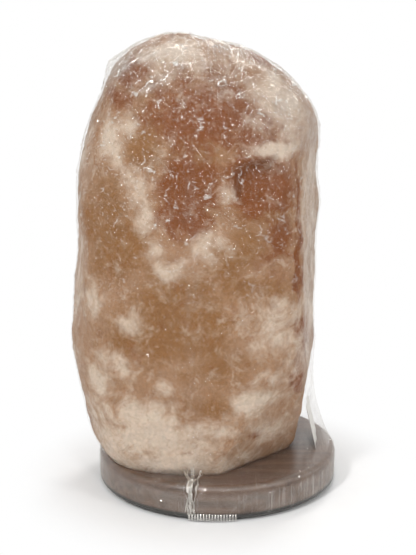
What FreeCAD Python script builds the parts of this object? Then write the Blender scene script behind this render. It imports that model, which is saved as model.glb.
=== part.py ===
import FreeCAD, Part
import math
import os
import Sketcher

# A table lamp made of a hewn block of rock salt on a turned wooden base, still in its clear
# wrapping film. The block is drilled from below, and a screw lampholder with a spring clip
# stands in the bore.
# The frame is in millimetres with +Z up. The origin lies on the table, on the bore's axis, and
# the front is towards -Y.

Vector = FreeCAD.Vector

# Driving sizes: spreadsheet alias, millimetres or degrees, what it measures.
SIZES = (
    ("base_diameter", 150.0, "wooden base, across"),
    ("base_thickness", 19.5, "wooden base, underside to top"),
    ("base_edge_round", 4.0, "rounding of the base's upper edge, turned as two bevels"),
    ("base_bore", 50.0, "bore through the base, across"),
    ("recess_diameter", 88.0, "recess under the base, across"),
    ("recess_depth", 7.0, "recess under the base, depth"),
    ("channel_width", 9.0, "cord channel to the rear edge, across"),
    ("foot_height", 2.5, "foot pads, thickness"),
    ("foot_diameter", 12.0, "foot pads, across"),
    ("foot_inset", 17.0, "foot pads, their middles in from the base's rim"),
    ("foot_turn", 45.0, "angle of the first foot pad"),
    ("squareness", 2.6, "exponent of the crystal's outline, where 2 is an ellipse"),
    ("chisel_depth", 1.5, "how far the crystal's facets wander in and out"),
    ("side_face_reach", 58.5, "sawn side face, from the bore's axis"),
    ("side_face_turn", 14.0, "sawn side face, turned from square"),
    ("rear_face_reach", 66.0, "split rear face, from the bore's axis"),
    ("rear_face_turn", 28.0, "split rear face, turned from square"),
    ("toe_reach", 41.0, "slanting face over the front right foot, from the bore's axis at the foot"),
    ("toe_turn", 45.0, "slanting face, turned from square"),
    ("toe_lean", 20.0, "slanting face, angle that it leans out"),
    ("pocket_width", 36.0, "six-sided hollow in the upper front, across its corners"),
    ("pocket_right", 22.0, "hollow's end, to the right of the bore's axis"),
    ("pocket_reach", 46.0, "hollow's end, in front of the bore's axis"),
    ("pocket_height", 176.0, "hollow's end, above the base"),
    ("pocket_slope", 18.0, "hollow, angle that it falls outwards"),
    ("crystal_bore", 50.0, "bore up into the crystal, across"),
    ("bore_headroom", 26.0, "free height over the bulb"),
    ("screw_circle", 68.0, "circle of the three screws, across"),
    ("screw_turn", 30.0, "angle of the first screw"),
    ("screw_diameter", 4.0, "screw shank, across"),
    ("screw_head", 10.0, "screw's hexagon head, across corners"),
    ("screw_play", 0.6, "play of the screw in the base's hole"),
    ("screw_head_height", 2.4, "screw head, height"),
    ("screw_grip", 17.0, "screw length inside its plug"),
    ("plug_diameter", 8.0, "anchor plug, across its six edges"),
    ("plug_length", 21.0, "anchor plug, length"),
    ("hole_spare", 1.5, "how much deeper a blind hole is than what stands in it"),
    ("fit_gap", 0.1, "clearance between pieces that are pushed together"),
    ("film_thickness", 0.3, "film, thickness"),
    ("film_gap", 0.9, "film, distance from what it wraps"),
    ("film_rim_inset", 1.8, "film, how far inside the rim it meets the base's top"),
    ("film_lip", 9.0, "film, width turned in under the base"),
    ("film_lift", 82.0, "height over the base at which the film leaves the crystal"),
    ("label_width", 30.0, "paper label, width"),
    ("label_height", 26.0, "paper label, height"),
    ("label_thickness", 0.3, "paper label, thickness"),
    ("label_inset", 10.0, "paper label's foot, in from the base's rim"),
    ("label_set_back", 15.0, "paper label's near edge, in front of the bore's axis"),
    ("label_lean", 13.0, "paper label, leaning to the crystal"),
    ("inlet_height", 10.0, "mouth of the inlet nipple, over the table"),
    ("inlet_diameter", 10.0, "inlet nipple, across"),
    ("inlet_bore", 7.2, "inlet nipple, bore for the cord"),
    ("inlet_below_nut", 2.0, "inlet nipple, length below its nut"),
    ("inlet_in_cap", 4.0, "inlet nipple, length above the cap's floor"),
    ("nut_across_flats", 14.0, "nipple nut, across flats"),
    ("nut_thickness", 3.0, "nipple nut, thickness"),
    ("clip_thickness", 1.0, "clip strip, thickness"),
    ("clip_width", 12.0, "clip, width"),
    ("clip_step", 4.6, "from the strip's end to the wing's widest point"),
    ("clip_bore_gap", 0.3, "clip wings, clearance in the bore"),
    ("leaf_thickness", 0.6, "clip wings, thickness"),
    ("leaf_rise", 31.0, "clip wings, root to widest point"),
    ("leaf_tip_rise", 17.0, "clip wings, widest point to tip"),
    ("leaf_tip_tuck", 3.2, "clip wings, how far the tip turns in"),
    ("hinge_gap", 0.3, "between the strip's end and the wing"),
    ("cap_diameter", 30.0, "holder cap, across"),
    ("cap_height", 18.0, "holder cap, height"),
    ("cap_floor", 3.0, "holder cap, floor"),
    ("cap_wall", 2.3, "holder cap, wall"),
    ("body_diameter", 29.0, "holder body, across"),
    ("body_height", 39.0, "holder body, height above the cap"),
    ("body_spigot", 6.0, "holder body, length inside the cap"),
    ("body_bore", 22.0, "holder body, bore"),
    ("insert_thickness", 8.0, "holder insert, thickness"),
    ("insert_rise", 4.0, "holder insert, above the cap's rim"),
    ("shell_bore", 14.5, "socket shell, bore"),
    ("shell_wall", 0.4, "socket shell, wall"),
    ("shell_length", 24.5, "socket shell, length"),
    ("strip_thickness", 0.5, "contact strips, thickness"),
    ("strip_width", 4.0, "contact strips, width"),
    ("leg_inset", 2.0, "contact strips' legs, in from the holder body's bore"),
    ("contact_lift", 1.4, "centre contact's tongue, above the insert"),
    ("tongue_reach", 2.6, "centre contact's tongue, past the axis"),
    ("terminal_spread", 5.2, "terminal screws, from the axis"),
    ("terminal_diameter", 3.0, "terminal screws, shank across"),
    ("terminal_head", 5.4, "terminal screws, hexagon head across corners"),
    ("terminal_head_height", 1.8, "terminal screws, head height"),
    ("terminal_depth", 5.0, "terminal screws, length in the insert"),
    ("bulb_diameter", 26.0, "bulb, across"),
    ("bulb_length", 57.0, "bulb, tip to crown"),
    ("bulb_neck", 12.6, "bulb glass at its cap, across"),
    ("bulb_wall", 0.8, "bulb glass, wall"),
    ("bulb_cap_diameter", 13.9, "bulb cap, across"),
    ("bulb_cap_wall", 0.35, "bulb cap, wall"),
    ("bulb_cap_height", 19.3, "bulb cap, height of its shell"),
    ("bulb_tip_diameter", 4.6, "solder tip, across"),
    ("bulb_tip_height", 1.3, "solder tip, height"),
    ("bulb_insulator_height", 3.4, "black glass disc in the cap's end, height"),
    ("bulb_insulator_drop", 1.4, "black glass disc, how far it stands out of the cap"),
    ("bulb_shoulder", 8.0, "bulb glass, height of the flare over the cap"),
    ("bulb_flare_sink", 4.0, "bulb glass, most that its flare starts below the holder body's rim"),
    ("bulb_dome", 4.0, "bulb glass, bevel of its crown"),
    ("bulb_glass_in_cap", 2.0, "bulb glass, length inside the cap"),
    ("stem_diameter", 5.0, "glass stem, across"),
    ("stem_length", 14.0, "glass stem, above the cap"),
    ("wire_diameter", 0.6, "filament wires, across"),
    ("wire_length", 12.0, "filament wires, length"),
    ("wire_splay", 20.0, "filament wires, angle outwards"),
    ("filament_diameter", 0.4, "filament, across"),
)

# The crystal's outline at thirteen heights: the rise from the level before, then how far it
# reaches to the left, right, front and back of the bore's axis.
LEVELS = (
    ("foot", 0.0, 67.5, 46.0, 56.0, 50.0),
    ("heel", 12.0, 79.0, 50.0, 59.5, 56.0),
    ("calf", 26.0, 85.0, 54.0, 61.5, 60.0),
    ("knee", 22.0, 88.0, 58.0, 62.0, 62.0),
    ("hip", 23.0, 88.0, 59.0, 62.0, 63.0),
    ("waist", 45.0, 86.0, 61.5, 62.0, 63.0),
    ("rib", 26.0, 84.5, 61.0, 62.0, 63.0),
    ("chest", 24.0, 82.5, 61.0, 60.0, 60.0),
    ("arm", 18.0, 79.5, 59.0, 58.0, 57.0),
    ("shoulder", 17.0, 73.0, 56.5, 54.5, 52.5),
    ("brow", 23.0, 64.5, 38.5, 44.0, 40.0),
    ("temple", 10.0, 58.0, 19.0, 34.0, 30.0),
    ("crown", 9.0, 38.0, -14.0, 16.0, 12.0),
)
REACHES = ("rise", "left", "right", "front", "back")
CORNERS = 20

# The facets' wander is a wave that steps on from corner to corner and from level to level.
CHISEL_STEP = 2.4
CHISEL_RISE = 2.3

# How steeply the film's skirt sweeps out to the rim.
SKIRT_SWEEP = 1.8

# Where the two bevels of a rounded edge meet, as a share of its radius.
BEVEL = 1 - math.sqrt(0.5)


class Size:
    """A number together with the spreadsheet expression that gives it."""

    def __init__(self, value, text):
        self.value = value
        self.text = text

    def __add__(self, other):
        other = as_size(other)
        return Size(self.value + other.value, f"({self.text} + {other.text})")

    def __sub__(self, other):
        other = as_size(other)
        return Size(self.value - other.value, f"({self.text} - {other.text})")

    def __mul__(self, other):
        other = as_size(other)
        return Size(self.value * other.value, f"({self.text} * {other.text})")

    def __truediv__(self, other):
        other = as_size(other)
        return Size(self.value / other.value, f"({self.text} / {other.text})")

    def __neg__(self):
        return Size(-self.value, f"(0 - {self.text})")


def as_size(number):
    return number if isinstance(number, Size) else Size(float(number), repr(float(number)))


def least(one, other):
    return Size(min(one.value, other.value), f"min({one.text}; {other.text})")


def most(one, other):
    return Size(max(one.value, other.value), f"max({one.text}; {other.text})")


def root(square):
    return Size(math.sqrt(square.value), f"sqrt({square.text})")


NOTHING = as_size(0.0)

document = FreeCAD.newDocument("SaltCrystalLamp")
sheet = document.addObject("Spreadsheet::Sheet", "Sizes")


def fill_sheet():
    rows = list(SIZES)
    for name, *reaches in LEVELS:
        for reach, value in zip(REACHES, reaches):
            rows.append((f"{name}_{reach}", value, f"crystal's {name}: {reach}"))
    for number, (alias, value, meaning) in enumerate(rows, start=1):
        sheet.set(f"A{number}", alias)
        sheet.set(f"B{number}", str(value))
        sheet.set(f"C{number}", meaning)
        sheet.setAlias(f"B{number}", alias)
    document.recompute()


def size(alias):
    return Size(float(sheet.get(alias)), f"Sizes.{alias}")


# ---- sketches and features ----


def origin_plane(body, role):
    return next(item for item in body.Origin.OriginFeatures if item.Role == role)


def new_sketch(body, name, role, height=NOTHING):
    sketch = body.newObject("Sketcher::SketchObject", name)
    sketch.AttachmentSupport = [(origin_plane(body, role), "")]
    sketch.MapMode = "FlatFace"
    sketch.setExpression("AttachmentOffset.Base.z", height.text)
    sketch.AttachmentOffset.Base.z = height.value
    return sketch


def locate(sketch, geometry, point, across, along):
    """Fix one point of a sketch at two sizes measured from its origin."""
    for direction, distance, axis in (("X", across, -2), ("Y", along, -1)):
        if abs(distance.value) < 1e-9:
            sketch.addConstraint(Sketcher.Constraint("PointOnObject", geometry, point, axis))
            continue
        ends = (-1, 1, geometry, point)
        if distance.value < 0:
            ends = (geometry, point, -1, 1)
            distance = -distance
        index = sketch.addConstraint(Sketcher.Constraint(f"Distance{direction}", *ends, distance.value))
        name = f"{direction.lower()}_{geometry}_{point}"
        sketch.renameConstraint(index, name)
        sketch.setExpression(f"Constraints.{name}", distance.text)


def draw_outline(sketch, corners):
    """Draw a closed outline of straight lines, each corner fixed by its own two sizes."""
    corners = [(as_size(across), as_size(along)) for across, along in corners]
    first = sketch.GeometryCount
    count = len(corners)
    places = [Vector(across.value, along.value, 0) for across, along in corners]
    for i in range(count):
        sketch.addGeometry(Part.LineSegment(places[i], places[(i + 1) % count]), False)
    for i in range(count):
        joined = first + (i + 1) % count
        sketch.addConstraint(Sketcher.Constraint("Coincident", first + i, 2, joined, 1))
        locate(sketch, first + i, 1, *corners[i])


def draw_circle(sketch, across, along, diameter):
    across, along = as_size(across), as_size(along)
    circle = Part.Circle(Vector(across.value, along.value, 0), Vector(0, 0, 1), diameter.value / 2)
    geometry = sketch.addGeometry(circle, False)
    locate(sketch, geometry, 3, across, along)
    index = sketch.addConstraint(Sketcher.Constraint("Diameter", geometry, diameter.value))
    sketch.renameConstraint(index, f"diameter_{geometry}")
    sketch.setExpression(f"Constraints.diameter_{geometry}", diameter.text)


def new_body(label):
    body = document.addObject("PartDesign::Body", label)
    body.Label = label
    return body


def turned(label, corners, axis_at=NOTHING):
    """A body turned from a half section; its axis stands axis_at to the right of the origin."""
    body = new_body(label)
    sketch = new_sketch(body, f"{label}_section", "XZ_Plane")
    draw_outline(sketch, [(axis_at + across, height) for across, height in corners])
    axis_name = "V_Axis"
    if axis_at is not NOTHING:
        foot = Vector(axis_at.value, 0, 0)
        axis = sketch.addGeometry(Part.LineSegment(foot, foot + Vector(0, 1, 0)), True)
        locate(sketch, axis, 1, axis_at, NOTHING)
        locate(sketch, axis, 2, axis_at, as_size(1.0))
        axis_name = "Axis0"
    turn = body.newObject("PartDesign::Revolution", f"{label}_turn")
    turn.Profile = sketch
    turn.ReferenceAxis = (sketch, [axis_name])
    turn.Angle = 360
    document.recompute()
    return body, turn


def plate(label, corners, holes, bottom, thickness):
    """A flat plate with round holes, each hole (across, along, diameter)."""
    body = new_body(label)
    sketch = new_sketch(body, f"{label}_outline", "XY_Plane", bottom)
    draw_outline(sketch, corners)
    for hole in holes:
        draw_circle(sketch, *hole)
    pad = body.newObject("PartDesign::Pad", f"{label}_pad")
    pad.Profile = sketch
    pad.setExpression("Length", thickness.text)
    document.recompute()
    return body, pad


def strip(label, corners, width):
    """A bent strip: its side view, padded to both sides of the middle."""
    body = new_body(label)
    sketch = new_sketch(body, f"{label}_side", "XZ_Plane")
    draw_outline(sketch, corners)
    pad = body.newObject("PartDesign::Pad", f"{label}_pad")
    pad.Profile = sketch
    pad.SideType = "Symmetric"
    pad.setExpression("Length", width.text)
    document.recompute()
    return body, pad


def pocket_up(body, sketch, depth):
    """Cut a sketch upwards into a body, and make sure that it removes something."""
    before = body.Shape.Volume
    pocket = body.newObject("PartDesign::Pocket", f"{sketch.Name}_cut")
    pocket.Profile = sketch
    pocket.Reversed = True
    pocket.setExpression("Length", depth.text)
    document.recompute()
    if body.Shape.Volume >= before:
        raise RuntimeError(f"{pocket.Name} removes nothing")
    return pocket


def around(body, features, count):
    """Repeat features evenly round the vertical axis."""
    pattern = body.newObject("PartDesign::PolarPattern", f"{features[0].Name}_pattern")
    pattern.Originals = features
    pattern.Axis = (origin_plane(body, "Z_Axis"), [""])
    pattern.Angle = 360
    pattern.Occurrences = count
    body.Tip = pattern
    document.recompute()
    return pattern


def hexagon(middle, radius):
    """Six corners about a middle on the X axis."""
    corners = []
    for number in range(6):
        turn = math.radians(60 * number)
        corners.append((middle + radius * math.cos(turn), radius * math.sin(turn)))
    return corners


def screws(label, place, head, bottom, head_height, shank, length, count):
    """Hexagon-headed screws round the axis, their shanks upwards."""
    body, cap = plate(label, hexagon(place, head / 2), [], bottom, head_height)
    sketch = new_sketch(body, f"{label}_shank_outline", "XY_Plane", bottom + head_height)
    draw_circle(sketch, place, 0, shank)
    pad = body.newObject("PartDesign::Pad", f"{label}_shank")
    pad.Profile = sketch
    pad.setExpression("Length", length.text)
    document.recompute()
    around(body, [cap, pad], count)
    return body


def turn_body(body, angle):
    body.setExpression("Placement.Rotation.Axis.z", "1")
    body.setExpression("Placement.Rotation.Angle", angle.text)


def primitive(kind, label, sizes, place=(NOTHING, NOTHING, NOTHING)):
    """A Part primitive whose properties and place follow the sheet."""
    item = document.addObject(f"Part::{kind}", label)
    item.Label = label
    for name, value in sizes.items():
        item.setExpression(name, as_size(value).text)
    for letter, value in zip("xyz", place):
        item.setExpression(f"Placement.Base.{letter}", as_size(value).text)
    return item


def tip_over(item, letter, angle):
    """Turn a primitive about one of the frame's level axes."""
    item.setExpression(f"Placement.Rotation.Axis.{letter}", "1")
    item.setExpression("Placement.Rotation.Axis.z", "0")
    item.setExpression("Placement.Rotation.Angle", angle.text)


# ---- the base ----


def base_top():
    return size("foot_height") + size("base_thickness")


def recess_ceiling():
    return size("foot_height") + size("recess_depth")


def make_wooden_base():
    rim = size("base_diameter") / 2
    bore = size("base_bore") / 2
    recess = size("recess_diameter") / 2
    underside = size("foot_height")
    edge = size("base_edge_round")
    section = [
        (recess, underside),
        (rim, underside),
        (rim, base_top() - edge),
        (rim - edge * BEVEL, base_top() - edge * BEVEL),
        (rim - edge, base_top()),
        (bore, base_top()),
        (bore, recess_ceiling()),
        (recess, recess_ceiling()),
    ]
    body, _ = turned("wooden_base", section)

    half = size("channel_width") / 2
    channel = new_sketch(body, "cord_channel", "XY_Plane", underside)
    draw_outline(channel, [(half, 0), (half, rim * 2), (-half, rim * 2), (-half, 0)])
    pocket_up(body, channel, size("recess_depth"))

    hole = new_sketch(body, "screw_hole", "XY_Plane", underside)
    turn = math.radians(size("screw_turn").value)
    ring = size("screw_circle") / 2
    clear = size("screw_diameter") + size("screw_play")
    draw_circle(hole, ring * math.cos(turn), ring * math.sin(turn), clear)
    cut = pocket_up(body, hole, size("base_thickness"))
    around(body, [cut], 3)
    return body


def make_foot_pads():
    body = new_body("foot_pads")
    sketch = new_sketch(body, "foot_pad_outline", "XY_Plane")
    draw_circle(sketch, size("base_diameter") / 2 - size("foot_inset"), 0, size("foot_diameter"))
    pad = body.newObject("PartDesign::Pad", "foot_pad")
    pad.Profile = sketch
    pad.setExpression("Length", "Sizes.foot_height")
    document.recompute()
    around(body, [pad], 4)
    turn_body(body, size("foot_turn"))
    return body


# ---- the crystal ----


def crystal_levels():
    """Each level as plain numbers: height over the table, left, right, front and back."""
    height = base_top().value
    levels = []
    for name, *_ in LEVELS:
        height += size(f"{name}_rise").value
        reaches = [size(f"{name}_{reach}").value for reach in REACHES[1:]]
        levels.append((height, *reaches))
    return levels


def outline_direction(corner):
    """Where a corner stands on the outline: -1 to 1 to the right and to the back."""
    angle = 2 * math.pi * (corner + 0.5) / CORNERS
    power = 2 / size("squareness").value
    across, along = math.cos(angle), math.sin(angle)
    return (
        math.copysign(abs(across) ** power, across),
        math.copysign(abs(along) ** power, along),
    )


def broad_faces(height):
    """The sawn, split and slanting faces at one height: where each looks, and how far out it is."""
    lean = math.tan(math.radians(size("toe_lean").value))
    toe = size("toe_reach").value + (height - base_top().value) * lean
    return (
        (-size("side_face_turn").value, size("side_face_reach").value),
        (90 + size("rear_face_turn").value, size("rear_face_reach").value),
        (-size("toe_turn").value, toe),
    )


def within_faces(place, outward):
    """A corner and its way out, drawn in towards the bore's axis to any broad face inside it."""
    for turn, reach in broad_faces(place.z):
        angle = math.radians(turn)
        facing = Vector(math.cos(angle), math.sin(angle), 0)
        beyond = place.dot(facing)
        if beyond > reach:
            place = Vector(place.x * reach / beyond, place.y * reach / beyond, place.z)
            outward = facing
    return place, outward


def crystal_ring(number, level, outside=0.0):
    """The crystal's outline at one level, or a line this far outside it."""
    height, left, right, front, back = level
    middle_x, middle_y = (right - left) / 2, (back - front) / 2
    half_x, half_y = (right + left) / 2, (back + front) / 2
    ring = []
    for corner in range(CORNERS):
        across, along = outline_direction(corner)
        chisel = size("chisel_depth").value * math.sin(CHISEL_STEP * corner + CHISEL_RISE * number)
        outward = Vector(across * half_y, along * half_x, 0).normalize()
        place = Vector(middle_x + across * half_x, middle_y + along * half_y, height)
        place, outward = within_faces(place + outward * chisel, outward)
        ring.append(place + outward * outside)
    return ring


def skin(rings):
    """Triangles between each ring of corners and the next."""
    faces = []
    for low, high in zip(rings, rings[1:]):
        for i in range(len(low)):
            j = (i + 1) % len(low)
            for triangle in ((low[i], low[j], high[i]), (low[j], high[j], high[i])):
                faces.append(Part.Face(Part.makePolygon([*triangle, triangle[0]])))
    return faces


def flat_cap(ring):
    return Part.Face(Part.makePolygon([*ring, ring[0]]))


def closed_solid(faces):
    solid = Part.makeSolid(Part.makeShell(faces))
    solid.fix(1e-6, 1e-6, 1e-6)
    if solid.Volume < 0:
        solid.reverse()
    return solid


def make_salt_crystal():
    levels = crystal_levels()
    rings = [crystal_ring(number, level) for number, level in enumerate(levels)]
    block = document.addObject("Part::Feature", "hewn_block")
    block.Shape = closed_solid([*skin(rings), flat_cap(rings[0]), flat_cap(rings[-1])])

    hollow_end = (size("pocket_right"), -size("pocket_reach"), base_top() + size("pocket_height"))
    sizes = {"Circumradius": size("pocket_width") / 2, "Height": size("base_diameter")}
    hollow = primitive("Prism", "front_hollow", sizes, hollow_end)
    tip_over(hollow, "x", size("pocket_slope") + 90)

    straight = {"Radius": size("crystal_bore") / 2, "Height": bore_end() - base_top()}
    drill = primitive("Cylinder", "bulb_bore", straight, (NOTHING, NOTHING, base_top()))

    tools = [hollow, drill]
    for number in range(3):
        turn = math.radians(size("screw_turn").value + 120 * number)
        ring = size("screw_circle") / 2
        place = (ring * math.cos(turn), ring * math.sin(turn), base_top())
        hole = {"Radius": size("plug_diameter") / 2, "Height": size("plug_length") + size("hole_spare")}
        tools.append(primitive("Cylinder", f"plug_hole_{number + 1}", hole, place))
    removed = document.addObject("Part::MultiFuse", "removed_salt")
    removed.Shapes = tools
    crystal = document.addObject("Part::Cut", "salt_crystal")
    crystal.Base = block
    crystal.Tool = removed
    crystal.Label = "salt_crystal"
    return crystal


# ---- the screws under the crystal ----


def make_crystal_screws():
    height = size("screw_head_height")
    length = base_top() + size("screw_grip") - recess_ceiling()
    body = screws(
        "crystal_screws",
        size("screw_circle") / 2,
        size("screw_head"),
        recess_ceiling() - height,
        height,
        size("screw_diameter"),
        length,
        3,
    )
    turn_body(body, size("screw_turn"))
    return body


def make_anchor_plugs():
    """Six-sided plugs, whose edges bite in the round holes in the salt."""
    middle = size("screw_circle") / 2
    edge = size("plug_diameter") / 2 - size("fit_gap")
    bore = (middle, 0, size("screw_diameter") + size("fit_gap") * 2)
    body, pad = plate("anchor_plugs", hexagon(middle, edge), [bore], base_top(), size("plug_length"))
    around(body, [pad], 3)
    turn_body(body, size("screw_turn"))
    return body


# ---- the wrapping ----


def rim_ring(radius, height):
    """A circle's corners, each beside the crystal's corner of the same number."""
    ring = []
    for corner in range(CORNERS):
        angle = 2 * math.pi * (corner + 0.5) / CORNERS
        ring.append(Vector(radius * math.cos(angle), radius * math.sin(angle), height))
    return ring


def film_ring(number, level, outside, rim_radius):
    """The film at one crystal level: on the crystal above the lift, and flared to the rim below."""
    foot = base_top().value
    lift = size("film_lift").value
    height = level[0]
    close = crystal_ring(number, level, outside)
    if height - foot >= lift:
        crown = crystal_levels()[-1][0]
        share = (height - foot - lift) / (crown - foot - lift)
        return [place + Vector(0, 0, outside * share) for place in close]
    share = (1 - (height - foot) / lift) ** SKIRT_SWEEP
    flared = rim_ring(rim_radius, height)
    ring = []
    for near, far in zip(close, flared):
        between = near * (1 - share) + far * share
        plan = Vector(near.x, near.y, 0).Length
        ring.append(near if Vector(between.x, between.y, 0).Length < plan else between)
    return ring


def film_rings(outside):
    """Every ring of one skin of the film, from the lip under the base to the crown."""
    rim = size("base_diameter").value / 2
    reach = (rim + outside) / math.cos(math.pi / CORNERS)
    top = base_top().value
    edge = size("base_edge_round").value
    lip = rim - size("film_lip").value
    under = size("foot_height").value - outside
    meet = rim - size("film_rim_inset").value
    levels = crystal_levels()
    rings = [rim_ring(lip, under), rim_ring(reach, under), rim_ring(reach, top - edge)]
    rings.append(rim_ring(meet + outside, top + outside))
    for number, level in enumerate(levels[1:], start=1):
        rings.append(film_ring(number, level, outside, meet + outside))
    return rings


def make_shrink_film():
    inner = film_rings(size("film_gap").value)
    outer = film_rings(size("film_gap").value + size("film_thickness").value)
    faces = [*skin(outer), *skin([inner[0], outer[0]]), flat_cap(outer[-1])]
    faces += [*skin(inner), flat_cap(inner[-1])]
    film = document.addObject("Part::Feature", "shrink_film")
    film.Label = "shrink_film"
    film.Shape = closed_solid(faces)
    return film


def make_paper_label():
    sizes = {
        "Length": size("label_thickness"),
        "Width": size("label_width"),
        "Height": size("label_height"),
    }
    stand = base_top() + size("label_thickness")
    place = (size("base_diameter") / 2 - size("label_inset"), -size("label_set_back"), stand)
    label = primitive("Box", "paper_label", sizes, place)
    tip_over(label, "y", -size("label_lean"))
    return label


# ---- heights of the lampholder, from the inlet upwards ----


def nut_bottom():
    return size("inlet_height") + size("inlet_below_nut")


def strip_bottom():
    return nut_bottom() + size("nut_thickness")


def cap_bottom():
    return strip_bottom() + size("clip_thickness")


def cap_rim():
    return cap_bottom() + size("cap_height")


def insert_bottom():
    return cap_rim() + size("insert_rise")


def insert_top():
    return insert_bottom() + size("insert_thickness")


def bulb_tip():
    return insert_top() + size("contact_lift") + size("strip_thickness") + size("fit_gap")


def bulb_cap_bottom():
    return bulb_tip() + size("bulb_tip_height") + size("bulb_insulator_drop")


def bulb_cap_top():
    return bulb_cap_bottom() + size("bulb_cap_height")


def bulb_top():
    return bulb_tip() + size("bulb_length")


def bore_end():
    return bulb_top() + size("bore_headroom")


# ---- the lampholder ----


def make_inlet_nipple():
    bore = size("inlet_bore") / 2
    thread = size("inlet_diameter") / 2
    top = cap_bottom() + size("cap_floor") + size("inlet_in_cap")
    section = [
        (bore, size("inlet_height")),
        (thread, size("inlet_height")),
        (thread, top),
        (bore, top),
    ]
    return turned("inlet_nipple", section)[0]


def make_nipple_nut():
    corners = hexagon(NOTHING, size("nut_across_flats") / math.sqrt(3))
    hole = (0, 0, size("inlet_diameter") + size("fit_gap"))
    return plate("nipple_nut", corners, [hole], nut_bottom(), size("nut_thickness"))[0]


def leaf_reach():
    """How far out a flat wing of this width can stand inside the narrower of the two bores."""
    wall = least(size("base_bore"), size("crystal_bore")) / 2 - size("clip_bore_gap")
    half = size("clip_width") / 2
    return root(wall * wall - half * half)


def strip_end():
    return leaf_reach() - size("clip_step")


def make_clip_yoke():
    end = strip_end()
    half = size("clip_width") / 2
    corners = [(end, -half), (end, half), (-end, half), (-end, -half)]
    hole = (0, 0, size("inlet_diameter") + size("fit_gap"))
    return plate("clip_yoke", corners, [hole], strip_bottom(), size("clip_thickness"))[0]


def make_clip_leaf(label, side):
    """One wing: up and out from the strip's end to the bore, then in again to its tip."""
    thickness = size("leaf_thickness")
    base = strip_end() + size("hinge_gap")
    foot = strip_bottom()
    knee = foot + size("leaf_rise")
    tip = knee + size("leaf_tip_rise")
    reach = leaf_reach()
    tucked = reach - size("leaf_tip_tuck")
    outside = [(base + thickness, foot), (reach, knee), (tucked, tip)]
    inside = [(tucked - thickness, tip), (reach - thickness, knee), (base, foot)]
    corners = [(across * side, height) for across, height in outside + inside]
    return strip(label, corners, size("clip_width"))[0]


def make_holder_cap():
    wall = size("cap_diameter") / 2
    inside = wall - size("cap_wall")
    hole = size("inlet_diameter") / 2 + size("fit_gap") / 2
    floor = cap_bottom() + size("cap_floor")
    section = [
        (hole, cap_bottom()),
        (wall, cap_bottom()),
        (wall, cap_rim()),
        (inside, cap_rim()),
        (inside, floor),
        (hole, floor),
    ]
    return turned("holder_cap", section)[0]


def body_top():
    return cap_rim() + size("body_height")


def make_holder_body():
    wall = size("body_diameter") / 2
    spigot = size("cap_diameter") / 2 - size("cap_wall") - size("fit_gap")
    bore = size("body_bore") / 2
    top = body_top()
    bottom = cap_rim() - size("body_spigot")
    section = [
        (bore, bottom),
        (spigot, bottom),
        (spigot, cap_rim()),
        (wall, cap_rim()),
        (wall, top),
        (bore, top),
    ]
    return turned("holder_body", section)[0]


def leg_place():
    """The middle of a contact's leg, through the insert beside its terminal."""
    return size("body_bore") / 2 - size("leg_inset")


def make_holder_insert():
    rim = size("body_bore") / 2 - size("fit_gap")
    section = [
        (NOTHING, insert_bottom()),
        (rim, insert_bottom()),
        (rim, insert_top()),
        (NOTHING, insert_top()),
    ]
    body, _ = turned("holder_insert", section)
    slots = new_sketch(body, "leg_slots", "XY_Plane", insert_bottom())
    half_leg = size("strip_thickness") / 2 + size("fit_gap")
    half_width = size("strip_width") / 2 + size("fit_gap")
    for side in (1, -1):
        near = (leg_place() - half_leg) * side
        far = (leg_place() + half_leg) * side
        draw_outline(slots, [(near, -half_width), (far, -half_width), (far, half_width), (near, half_width)])
    pocket_up(body, slots, size("insert_thickness"))
    holes = new_sketch(body, "terminal_holes", "XY_Plane", insert_bottom())
    for side in (1, -1):
        draw_circle(holes, size("terminal_spread") * side, 0, size("terminal_diameter") + size("fit_gap"))
    pocket_up(body, holes, size("terminal_depth") + size("hole_spare"))
    return body


def make_socket_shell():
    bore = size("shell_bore") / 2
    wall = bore + size("shell_wall")
    bottom = insert_top() + size("fit_gap") + size("strip_thickness")
    top = bottom + size("shell_length")
    section = [(bore, bottom), (wall, bottom), (wall, top), (bore, top)]
    return turned("socket_shell", section)[0]


def foot_tab(side):
    """The lower end of a contact: a tab under the insert that its terminal screw clamps."""
    gap = size("fit_gap")
    thickness = size("strip_thickness")
    inner = size("terminal_spread") + size("terminal_diameter") / 2 + gap
    bottom = insert_bottom() - gap - thickness
    return [
        ((leg_place() + thickness / 2) * side, bottom),
        (inner * side, bottom),
        (inner * side, bottom + thickness),
        ((leg_place() - thickness / 2) * side, bottom + thickness),
    ]


def make_centre_contact():
    """A strip up through the insert, along its top and up to a sprung tongue under the bulb."""
    thickness = size("strip_thickness")
    low = insert_top() + size("fit_gap")
    high = insert_top() + size("contact_lift")
    outer = leg_place() + thickness / 2
    inner = leg_place() - thickness / 2
    reach = size("tongue_reach")
    under_shell = low + thickness - size("fit_gap") / 2
    tongue = [
        (-inner, low),
        (-reach * 2, low),
        (-reach, high),
        (reach, high),
        (reach, high + thickness),
        (-reach, high + thickness),
        (-reach * 2, under_shell),
        (-outer, under_shell),
    ]
    return strip("centre_contact", foot_tab(-1) + tongue, size("strip_width"))[0]


def make_side_contact():
    """A strip up through the insert to a shelf under the socket shell."""
    thickness = size("strip_thickness")
    low = insert_top() + size("fit_gap")
    outer = leg_place() + thickness / 2
    inner = leg_place() - thickness / 2
    shelf = size("shell_bore") / 2 - size("strip_thickness")
    tongue = [(inner, low), (shelf, low), (shelf, low + thickness), (outer, low + thickness)]
    return strip("side_contact", foot_tab(1) + tongue, size("strip_width"))[0]


def make_terminal_screws():
    height = size("terminal_head_height")
    seat = insert_bottom() - size("fit_gap") * 2 - size("strip_thickness")
    return screws(
        "terminal_screws",
        size("terminal_spread"),
        size("terminal_head"),
        seat - height,
        height,
        size("terminal_diameter"),
        insert_bottom() + size("terminal_depth") - seat,
        2,
    )


# ---- the bulb ----


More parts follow.
